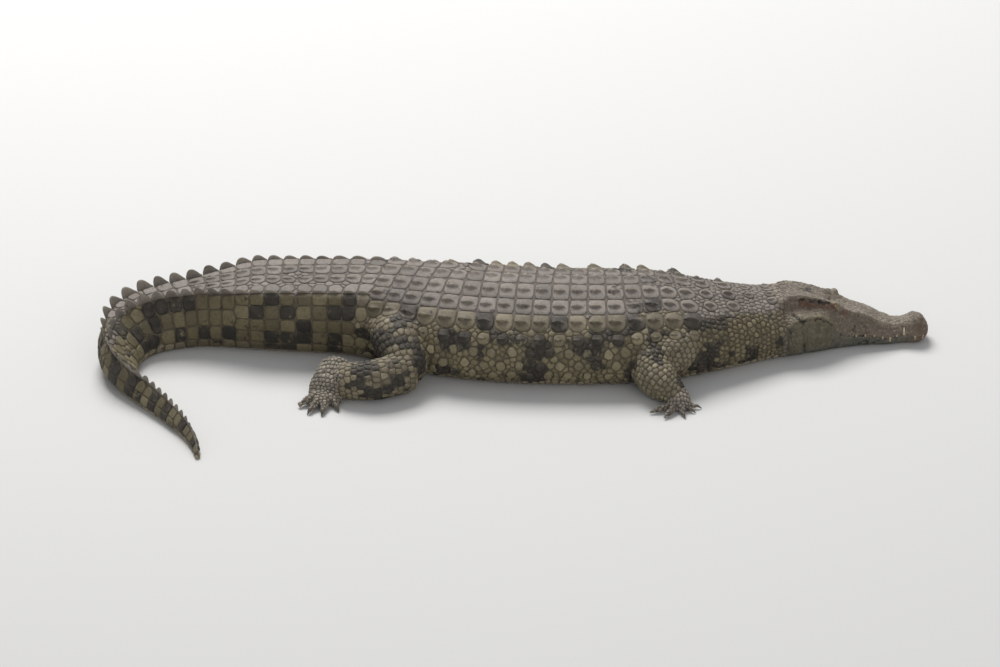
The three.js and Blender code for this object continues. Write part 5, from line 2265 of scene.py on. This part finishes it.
class Graph:
    """Makes and links the nodes of a material or a group."""

    def __init__(self, tree: bpy.types.NodeTree) -> None:
        """Starts on a node tree."""
        self.tree = tree

    def feed(self, node: bpy.types.Node, inputs: Inputs) -> bpy.types.Node:
        """Links or sets a node's inputs, by their names or numbers.

        Args:
            node: the node.
            inputs: sockets to link or values to set.

        Returns:
            The same node.
        """
        for key, value in inputs.items():
            if isinstance(value, Socket):
                self.tree.links.new(value, node.inputs[key])
            else:
                node.inputs[key].default_value = value
        return node

    def put(self, kind: str, inputs: Inputs | None = None, **settings: object) -> bpy.types.Node:
        """Adds a node.

        Args:
            kind: the node's type.
            inputs: sockets to link or values to set, by the input's name or number.
            settings: the node's properties.

        Returns:
            The node.
        """
        node = self.tree.nodes.new(kind)
        for name, value in settings.items():
            setattr(node, name, value)
        return self.feed(node, inputs or {})

    def math(self, operation: str, a: object, b: object, clamp: bool = False) -> Socket:
        """The result of a sum on two values."""
        return self.put("ShaderNodeMath", {0: a, 1: b}, operation=operation, use_clamp=clamp).outputs[0]

    def times(self, a: object, b: object, clamp: bool = False) -> Socket:
        """Two values multiplied."""
        return self.math("MULTIPLY", a, b, clamp)

    def plus(self, a: object, b: object) -> Socket:
        """Two values added."""
        return self.math("ADD", a, b)

    def vector(self, operation: str, inputs: Inputs) -> Socket:
        """The result of a sum on vectors."""
        return self.put("ShaderNodeVectorMath", inputs, operation=operation).outputs[0]

    def step(self, value: Socket, low: float, high: float, start: float = 0.0, end: float = 1.0) -> Socket:
        """A soft step from start to end as the value goes from low to high."""
        inputs = {0: value, 1: low, 2: high, 3: start, 4: end}
        return self.put("ShaderNodeMapRange", inputs, interpolation_type="SMOOTHSTEP").outputs[0]

    def mix(self, share: object, a: object, b: object, blend: str = "MIX") -> Socket:
        """Two colours mixed.

        Args:
            share: how much of the second.
            a, b: the colours.
            blend: how they are mixed.

        Returns:
            The mixed colour.
        """
        a, b = (c if isinstance(c, Socket) else (*c, 1.0) for c in (a, b))
        inputs = {0: share, 6: a, 7: b}
        return self.put("ShaderNodeMix", inputs, data_type="RGBA", blend_type=blend).outputs[2]

    def lit(self, colour: Socket, light: Socket) -> Socket:
        """A colour made lighter or darker."""
        light = self.put("ShaderNodeCombineColor", dict.fromkeys(range(3), light)).outputs[0]
        return self.mix(1.0, colour, light, "MULTIPLY")

    def bump(self, relief: bpy.types.Node, strength: float, distance: float) -> Socket:
        """The normal of a surface with the shared relief."""
        inputs = {"Strength": strength, "Distance": distance, "Height": relief.outputs["Height"]}
        return self.put("ShaderNodeBump", inputs).outputs[0]

    def mask(self, name: str) -> Socket:
        """A value kept on the mesh."""
        return self.put("ShaderNodeAttribute", attribute_name=name).outputs["Fac"]

    def place(self) -> Socket:
        """Object coordinates."""
        return self.put("ShaderNodeTexCoord").outputs["Object"]

    def noise(self, place: Socket, scale: float, detail: float = 3.0, rough: float = 0.55) -> Socket:
        """Noise from 0 to 1."""
        inputs = {"Vector": place, "Scale": scale, "Detail": detail, "Roughness": rough}
        return self.put("ShaderNodeTexNoise", inputs).outputs[0]

    def group(self, made: bpy.types.NodeTree, inputs: Inputs) -> bpy.types.Node:
        """Places a shared group and sets its inputs."""
        return self.put("ShaderNodeGroup", inputs, node_tree=made)


def new_material(name: str) -> tuple[bpy.types.Material, Graph, bpy.types.Node]:
    """Starts a material: itself, a graph on it, and its Principled surface.

    Args:
        name: its name.

    Returns:
        The material, a graph on it and its surface.
    """
    made = bpy.data.materials.new(name)
    made.use_nodes = True
    return made, Graph(made.node_tree), made.node_tree.nodes["Principled BSDF"]


def new_group(
    name: str, inputs: dict[str, float], outputs: Sequence[str]
) -> tuple[bpy.types.NodeTree, Graph, bpy.types.Node, bpy.types.Node]:
    """Starts a shared group that takes and gives values.

    Args:
        name: its name.
        inputs: each input's first value.
        outputs: the outputs' names.

    Returns:
        The group, a graph on it, and its input and output nodes.
    """
    tree = bpy.data.node_groups.new(name, "ShaderNodeTree")
    for key, value in inputs.items():
        socket = tree.interface.new_socket(key, in_out="INPUT", socket_type="NodeSocketFloat")
        socket.default_value = value
    for key in outputs:
        tree.interface.new_socket(key, in_out="OUTPUT", socket_type="NodeSocketFloat")
    graph = Graph(tree)
    return tree, graph, graph.put("NodeGroupInput"), graph.put("NodeGroupOutput")


def grain_group() -> bpy.types.NodeTree:
    """The fine relief of dry hide: creases, pits and a soft unevenness, as one height, and a tone that paints
    shade into the creases.

    Returns:
        The group.
    """
    tree, graph, given, out = new_group("hide_grain", {"Size": 1.0, "Creases": 0.5}, ("Height", "CreaseShadeAndTone"))
    place = graph.vector("SCALE", {0: graph.place(), "Scale": given.outputs["Size"]})
    bent = graph.put("ShaderNodeTexNoise", {"Vector": place, "Scale": 160.0, "Detail": 2.0}).outputs["Color"]
    spot = graph.vector("ADD", {0: place, 1: graph.vector("SCALE", {0: bent, "Scale": 0.004})})
    cells = graph.put("ShaderNodeTexVoronoi", {"Vector": spot, "Scale": 260.0}, feature="DISTANCE_TO_EDGE")
    crease = graph.step(cells.outputs["Distance"], 0.0, 0.09)
    fine, soft = graph.noise(spot, 900.0, 3.0, 0.6), graph.noise(spot, 130.0, 3.0)
    creased = graph.times(graph.math("SUBTRACT", crease, 1.0), given.outputs["Creases"])
    height = graph.plus(graph.plus(graph.times(fine, 0.35), graph.times(soft, 0.9)), creased)
    # the second output is 0 in the creases, for painted shade there, and uneven elsewhere
    graph.feed(out, {"Height": height, "CreaseShadeAndTone": graph.times(soft, crease)})
    return tree


def dust_group() -> bpy.types.NodeTree:
    """Dry dust that lies on what faces up and in hollows, as a mask.

    Returns:
        The group.
    """
    tree, graph, given, out = new_group("dust", {"Amount": 0.5, "Hollow": 0.0}, ("Mask",))
    normal = graph.put("ShaderNodeNewGeometry").outputs["Normal"]
    lying = graph.step(graph.put("ShaderNodeSeparateXYZ", {0: normal}).outputs[2], -0.1, 0.9, 0.25, 1.0)
    broken = graph.step(graph.noise(graph.place(), 34.0, 5.0, 0.62), 0.36, 0.66)
    mask = graph.times(lying, graph.plus(graph.times(broken, 0.8), 0.2))
    mask = graph.plus(mask, graph.times(given.outputs["Hollow"], 0.6))
    graph.feed(out, {"Mask": graph.times(mask, given.outputs["Amount"], clamp=True)})
    return tree


@dataclass(frozen=True)
class HideFinish:
    """Dry crocodile hide: a grey-brown back, olive sides partly darkened as painted shade, a cream belly and
    near-black blotches, with painted shade in the gaps between scales, on the keels' slopes and in the
    creases, and a painted highlight on the keels' crests.
    """

    name: str
    back: Colour = linear(121, 109, 99)
    # the sides' olive, partly darkened as painted shade of the flanks
    side: Colour = linear(104, 95, 68)
    cream: Colour = linear(168, 157, 128)
    foot: Colour = linear(134, 129, 125)
    green: Colour = linear(99, 98, 87)
    warm: Colour = linear(104, 76, 62)
    # near-black of the blotches, also used for the painted shadows in the ear slit and the mouth's line
    dark: Colour = linear(30, 28, 28)
    edge: Colour = linear(148, 137, 98)
    # the groove's colour paints shade: in the gaps at the scales' feet and on the keels' slopes
    groove: Colour = linear(66, 58, 52)
    dusty: Colour = linear(150, 138, 124)
    # rims: how far the scales' feet and the bare skin between them take the painted shade of the gaps
    rims: float = 0.55  # how far the scales' rims take the edge's colour
    dust: float = 0.3
    size: float = 1.0
    creases: float = 0.5
    bump: float = 0.55
    rough: float = 0.62

    def build(self, grain: bpy.types.NodeTree, dust: bpy.types.NodeTree) -> bpy.types.Material:
        """Makes the material.

        Args:
            grain: the shared relief.
            dust: the shared mask of dust.

        Returns:
            The material.
        """
        made, graph, surface = new_material(self.name)
        times, plus, step, mask = graph.times, graph.plus, graph.step, graph.mask
        place = graph.place()
        broad, close = graph.noise(place, 9.0, 4.0), graph.noise(place, 70.0, 4.0, 0.6)
        rise, tan, keel = mask("rise"), mask("tan"), mask("keel")
        layers = (
            (tan, self.side), (mask("pale"), self.cream), (times(mask("grey"), 0.5), self.foot),
            (mask("green"), self.green), (mask("warm"), self.warm),
        )
        colour = self.back
        for share, hue in layers:
            colour = graph.mix(share, colour, hue)
        shade = plus(plus(times(mask("cell"), 0.34), times(broad, 0.5)), times(close, 0.35))
        colour = graph.lit(colour, step(shade, 0.15, 1.05, 0.6, 1.42))
        # Painted shade at the scales' feet and on the bare skin between them, in the groove's colour on the
        # back and the edge's colour on the sides; the back's finish gives the sides a pale yellow edge
        # instead.
        rim = times(step(rise, 0.8, 0.2), self.rims)
        colour = graph.mix(rim, colour, graph.mix(tan, self.groove, self.edge))
        # painted shade on the keels' slopes, in the groove's colour
        slope = times(step(keel, 0.02, 0.22), step(keel, 0.75, 0.35))
        colour = graph.mix(times(slope, 0.55), colour, self.groove)
        # painted highlight on the keels' crests
        colour = graph.mix(times(step(keel, 0.6, 0.95), 0.5), colour, self.cream)
        ragged = graph.math("SUBTRACT", plus(graph.noise(place, 26.0, 3.0), close), 1.0)
        eroded = graph.math("SUBTRACT", plus(mask("dark"), times(ragged, 1.9)), times(rim, 0.25))
        colour = graph.mix(times(step(eroded, 0.25, 0.75), 0.9), colour, self.dark)
        relief = graph.group(grain, {"Size": self.size, "Creases": self.creases})
        powder = graph.group(dust, {"Amount": self.dust, "Hollow": step(rise, 0.5, 0.0)}).outputs["Mask"]
        colour = graph.mix(powder, colour, self.dusty)
        # painted shade in the grain's creases, with a soft uneven tone
        colour = graph.lit(colour, step(relief.outputs["CreaseShadeAndTone"], 0.15, 0.6, 0.72, 1.12))
        rough = plus(times(powder, 0.25), step(close, 0.3, 0.7, self.rough - 0.1, self.rough + 0.08))
        graph.feed(surface, {
            "Base Color": colour, "Roughness": rough, "Normal": graph.bump(relief, self.bump, 0.0016),
            "Specular IOR Level": 0.35,
        })
        return made


@dataclass(frozen=True)
class HornFinish:
    """Horn or tooth: streaks from root to tip."""

    name: str
    root: Colour
    tip: Colour
    streak: Colour
    rough: float = 0.4

    def build(self, grain: bpy.types.NodeTree) -> bpy.types.Material:
        """Makes the material, on which the shared relief is faint.

        Args:
            grain: the shared relief.

        Returns:
            The material.
        """
        made, graph, surface = new_material(self.name)
        streaks = graph.step(graph.noise(graph.place(), 420.0, 4.0, 0.6), 0.4, 0.65)
        colour = graph.mix(graph.step(graph.mask("rise"), 0.35, 1.0), self.root, self.tip)
        relief = graph.group(grain, {"Size": 1.6, "Creases": 0.1})
        graph.feed(surface, {
            "Base Color": graph.mix(graph.times(streaks, 0.5), colour, self.streak),
            "Roughness": graph.step(streaks, 0.0, 1.0, self.rough, self.rough + 0.2),
            "Normal": graph.bump(relief, 0.25, 0.0008),
        })
        return made


@dataclass(frozen=True)
class EyeFinish:
    """A wet yellow-brown iris with dark veins and an upright slit."""

    name: str = "wet_eye"
    iris: Colour = linear(150, 118, 52)
    vein: Colour = linear(70, 48, 22)
    white: Colour = linear(110, 92, 66)
    pupil: Colour = (0.004, 0.004, 0.004)

    def build(self) -> bpy.types.Material:
        """Makes the material.

        Returns:
            The material.
        """
        made, graph, surface = new_material(self.name)
        veins = graph.step(graph.noise(graph.place(), 900.0, 5.0, 0.7), 0.42, 0.62)
        inside = graph.mix(graph.times(veins, 0.75), self.iris, self.vein)
        inside = graph.mix(graph.mask("rim"), inside, self.vein)
        colour = graph.mix(graph.mask("iris"), self.white, inside)
        graph.feed(surface, {
            "Base Color": graph.mix(graph.mask("slit"), colour, self.pupil), "Roughness": 0.12,
            "Coat Weight": 1.0, "Coat Roughness": 0.03,
        })
        return made


@dataclass(frozen=True)
class FloorFinish:
    """A plain pale studio floor."""

    name: str = "studio_floor"
    colour: Colour = (0.62, 0.61, 0.59)

    def build(self) -> bpy.types.Material:
        """Makes the material.

        Returns:
            The material.
        """
        made, graph, surface = new_material(self.name)
        graph.feed(surface, {"Base Color": (*self.colour, 1.0), "Roughness": 0.85})
        return made


# ---- Studio -------------------------------------------------------------------------------------------


@dataclass(frozen=True)
class Studio:
    """The floor, the lights and the camera."""

    target: Triple = (-0.046, 0.1923, 0.0156)
    elevation: float = 28.0
    distance: float = 20.0
    lens: float = 235.3
    floor_size: float = 60.0
    lamps: tuple[tuple[str, Triple, tuple[float, float], float], ...] = (  # name, place, size, power
        ("key", (-2.0, 7.0, 9.0), (6.0, 5.0), 1500.0),
        ("fill", (2.5, -9.0, 5.0), (8.0, 5.0), 190.0),
    )
    sky: Colour = (0.92, 0.95, 1.0)
    sky_strength: float = 0.42

    def build(self) -> None:
        """Makes them."""
        select()
        bpy.ops.mesh.primitive_plane_add(size=self.floor_size)
        floor = bpy.context.active_object
        floor.name = floor.data.name = "floor"
        floor.data.materials.append(FloorFinish().build())
        for name, spot, size, power in self.lamps:
            data = bpy.data.lights.new(name, "AREA")
            data.shape, data.size, data.size_y, data.energy = "RECTANGLE", *size, power
            self.aim(link(name, data), Vector(spot), Vector(spot))
        world = bpy.data.worlds.new("studio")
        world.use_nodes = True
        sky = world.node_tree.nodes["Background"]
        sky.inputs["Color"].default_value = (*self.sky, 1.0)
        sky.inputs["Strength"].default_value = self.sky_strength
        bpy.context.scene.world = world
        self.camera()

    def aim(self, made: bpy.types.Object, spot: Vector, back: Vector) -> None:
        """Puts a lamp or the camera at a spot, looking against the direction back.

        Args:
            made: the lamp or the camera.
            spot: where it goes.
            back: the direction away from what it looks at.
        """
        made.location = spot
        made.rotation_euler = (-back).to_track_quat("-Z", "Y").to_euler()

    def camera(self) -> None:
        """Makes the camera."""
        turn = math.radians(self.elevation)
        back = Vector((0.0, -math.cos(turn), math.sin(turn)))
        data = bpy.data.cameras.new("camera")
        data.lens, data.sensor_width, data.clip_end = self.lens, 36.0, 200.0
        camera = link("camera", data)
        self.aim(camera, Vector(self.target) + back * self.distance, back)
        bpy.context.scene.camera = camera


# ---- The whole animal -----------------------------------------------------------------------------------

FLESH = (
    "neck", "trunk", "tail_base", "tail_fore", "tail_bend", "tail_turn", "tail_return", "tail_tip",
    "skull", "lower_jaw",
    *(
        f"{part}_{side}"
        for side in SIDES.values()
        for part in ("ear_flap", "upper_arm", "forearm", "hand", "thigh", "shank", "foot")
    ),
)


@dataclass
class Crocodile:
    """All the pieces of the animal with their finishes."""

    hull: Hull = field(default_factory=Hull)
    eyes: Eyes = field(default_factory=Eyes)

    def __post_init__(self) -> None:
        """Finds the animal's place from its frame, and makes the shared groups."""
        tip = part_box("skull")[1].x / MM
        eyes = [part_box(f"eye_{side}") for side in SIDES.values()]
        middle = sum((low.y + high.y) / 2 for low, high in eyes) / 2 / MM
        across = self.hull.spine_at(np.array([self.eyes.station]))[0][0, 1]
        self.shift = np.array([tip - SNOUT_TIP[0], middle - across, 0.0])
        self.grain, self.dust = grain_group(), dust_group()

    def keep(self, piece: bpy.types.Object, slot: str, finish: bpy.types.Material, *nodes: str) -> None:
        """Dresses a piece and lets it ride, in place of the nodes that it stands for.

        Args:
            piece: the piece.
            slot: its finish slot; not used.
            finish: its material.
            nodes: the nodes that it replaces.
        """
        piece.data.materials.clear()
        piece.data.materials.append(finish)
        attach(piece, "root")
        if nodes:
            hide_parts(*nodes)
        log.info("%s: %d faces", piece.name, len(piece.data.polygons))

    def hide(self) -> None:
        """The skin and its scales."""
        skin = Skin(self.hull, self.shift, self.eyes).build()
        scales = Scales(self.hull, skin, self.eyes, self.shift).build()
        finishes = {
            # the bare skin's dark edge colour paints the shade in the gaps between scales
            "skin": HideFinish("bare_skin", rims=0.85, dust=0.15, creases=0.8, edge=linear(76, 68, 50)),
            "back_hide": HideFinish("back_scales", rims=0.4, edge=linear(126, 115, 82)),
            "tail_hide": HideFinish("tail_scales", dust=0.2, rims=0.5, edge=linear(70, 63, 42)),
            "head_hide": HideFinish(
                "head_hide", dust=0.25, rims=0.3, creases=0.9, edge=linear(84, 76, 62),
                cream=linear(152, 143, 134),
            ),
            "leg_hide": HideFinish("leg_scales", dust=0.2, rims=0.4),
        }
        made = {slot: finish.build(self.grain, self.dust) for slot, finish in finishes.items()}
        self.keep(skin, "back_hide", made["skin"], *FLESH)
        for coat, piece in scales.items():
            slot = SLOTS.get(coat, "back_hide")
            self.keep(piece, slot, made[slot])
        self.keep(Crest(self.hull, self.shift).build(), "tail_hide", made["tail_hide"])

    def sockets(self) -> None:
        """Eyes, teeth and claws."""
        wet = EyeFinish().build()
        for side, name in SIDES.items():
            self.keep(Eyeball(self.eyes, self.hull, self.shift, side).build(), "eye", wet, f"eye_{name}")
        hues = (linear(186, 172, 140), linear(236, 230, 214), linear(160, 140, 104))
        ivory = HornFinish("tooth_ivory", *hues, 0.3).build(self.grain)
        self.keep(Teeth(self.hull, self.shift).build(), "claw", ivory)
        hues = (linear(92, 84, 74), linear(54, 48, 42), linear(124, 114, 98))
        horn = HornFinish("claw_horn", *hues, 0.45).build(self.grain)
        for limb in LIMBS:
            pair, side = limb.name.split("_")
            for toe in range(limb.clawed):
                name = f"{'hand' if pair == 'fore' else 'foot'}_{side}_{toe + 1}"
                self.keep(Claw(limb, toe, self.shift).build(f"horn_{name}"), "claw", horn, f"claw_{name}")

    def build(self) -> None:
        """Builds the animal."""
        self.hide()
        self.sockets()


def main() -> None:
    """Builds the animal and its studio."""
    logging.basicConfig(level=logging.INFO, format="%(message)s", stream=sys.stdout)
    bpy.context.scene.view_settings.view_transform = "Standard"
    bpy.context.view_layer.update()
    Studio().build()
    Crocodile().build()


if __name__ == "__main__":
    main()
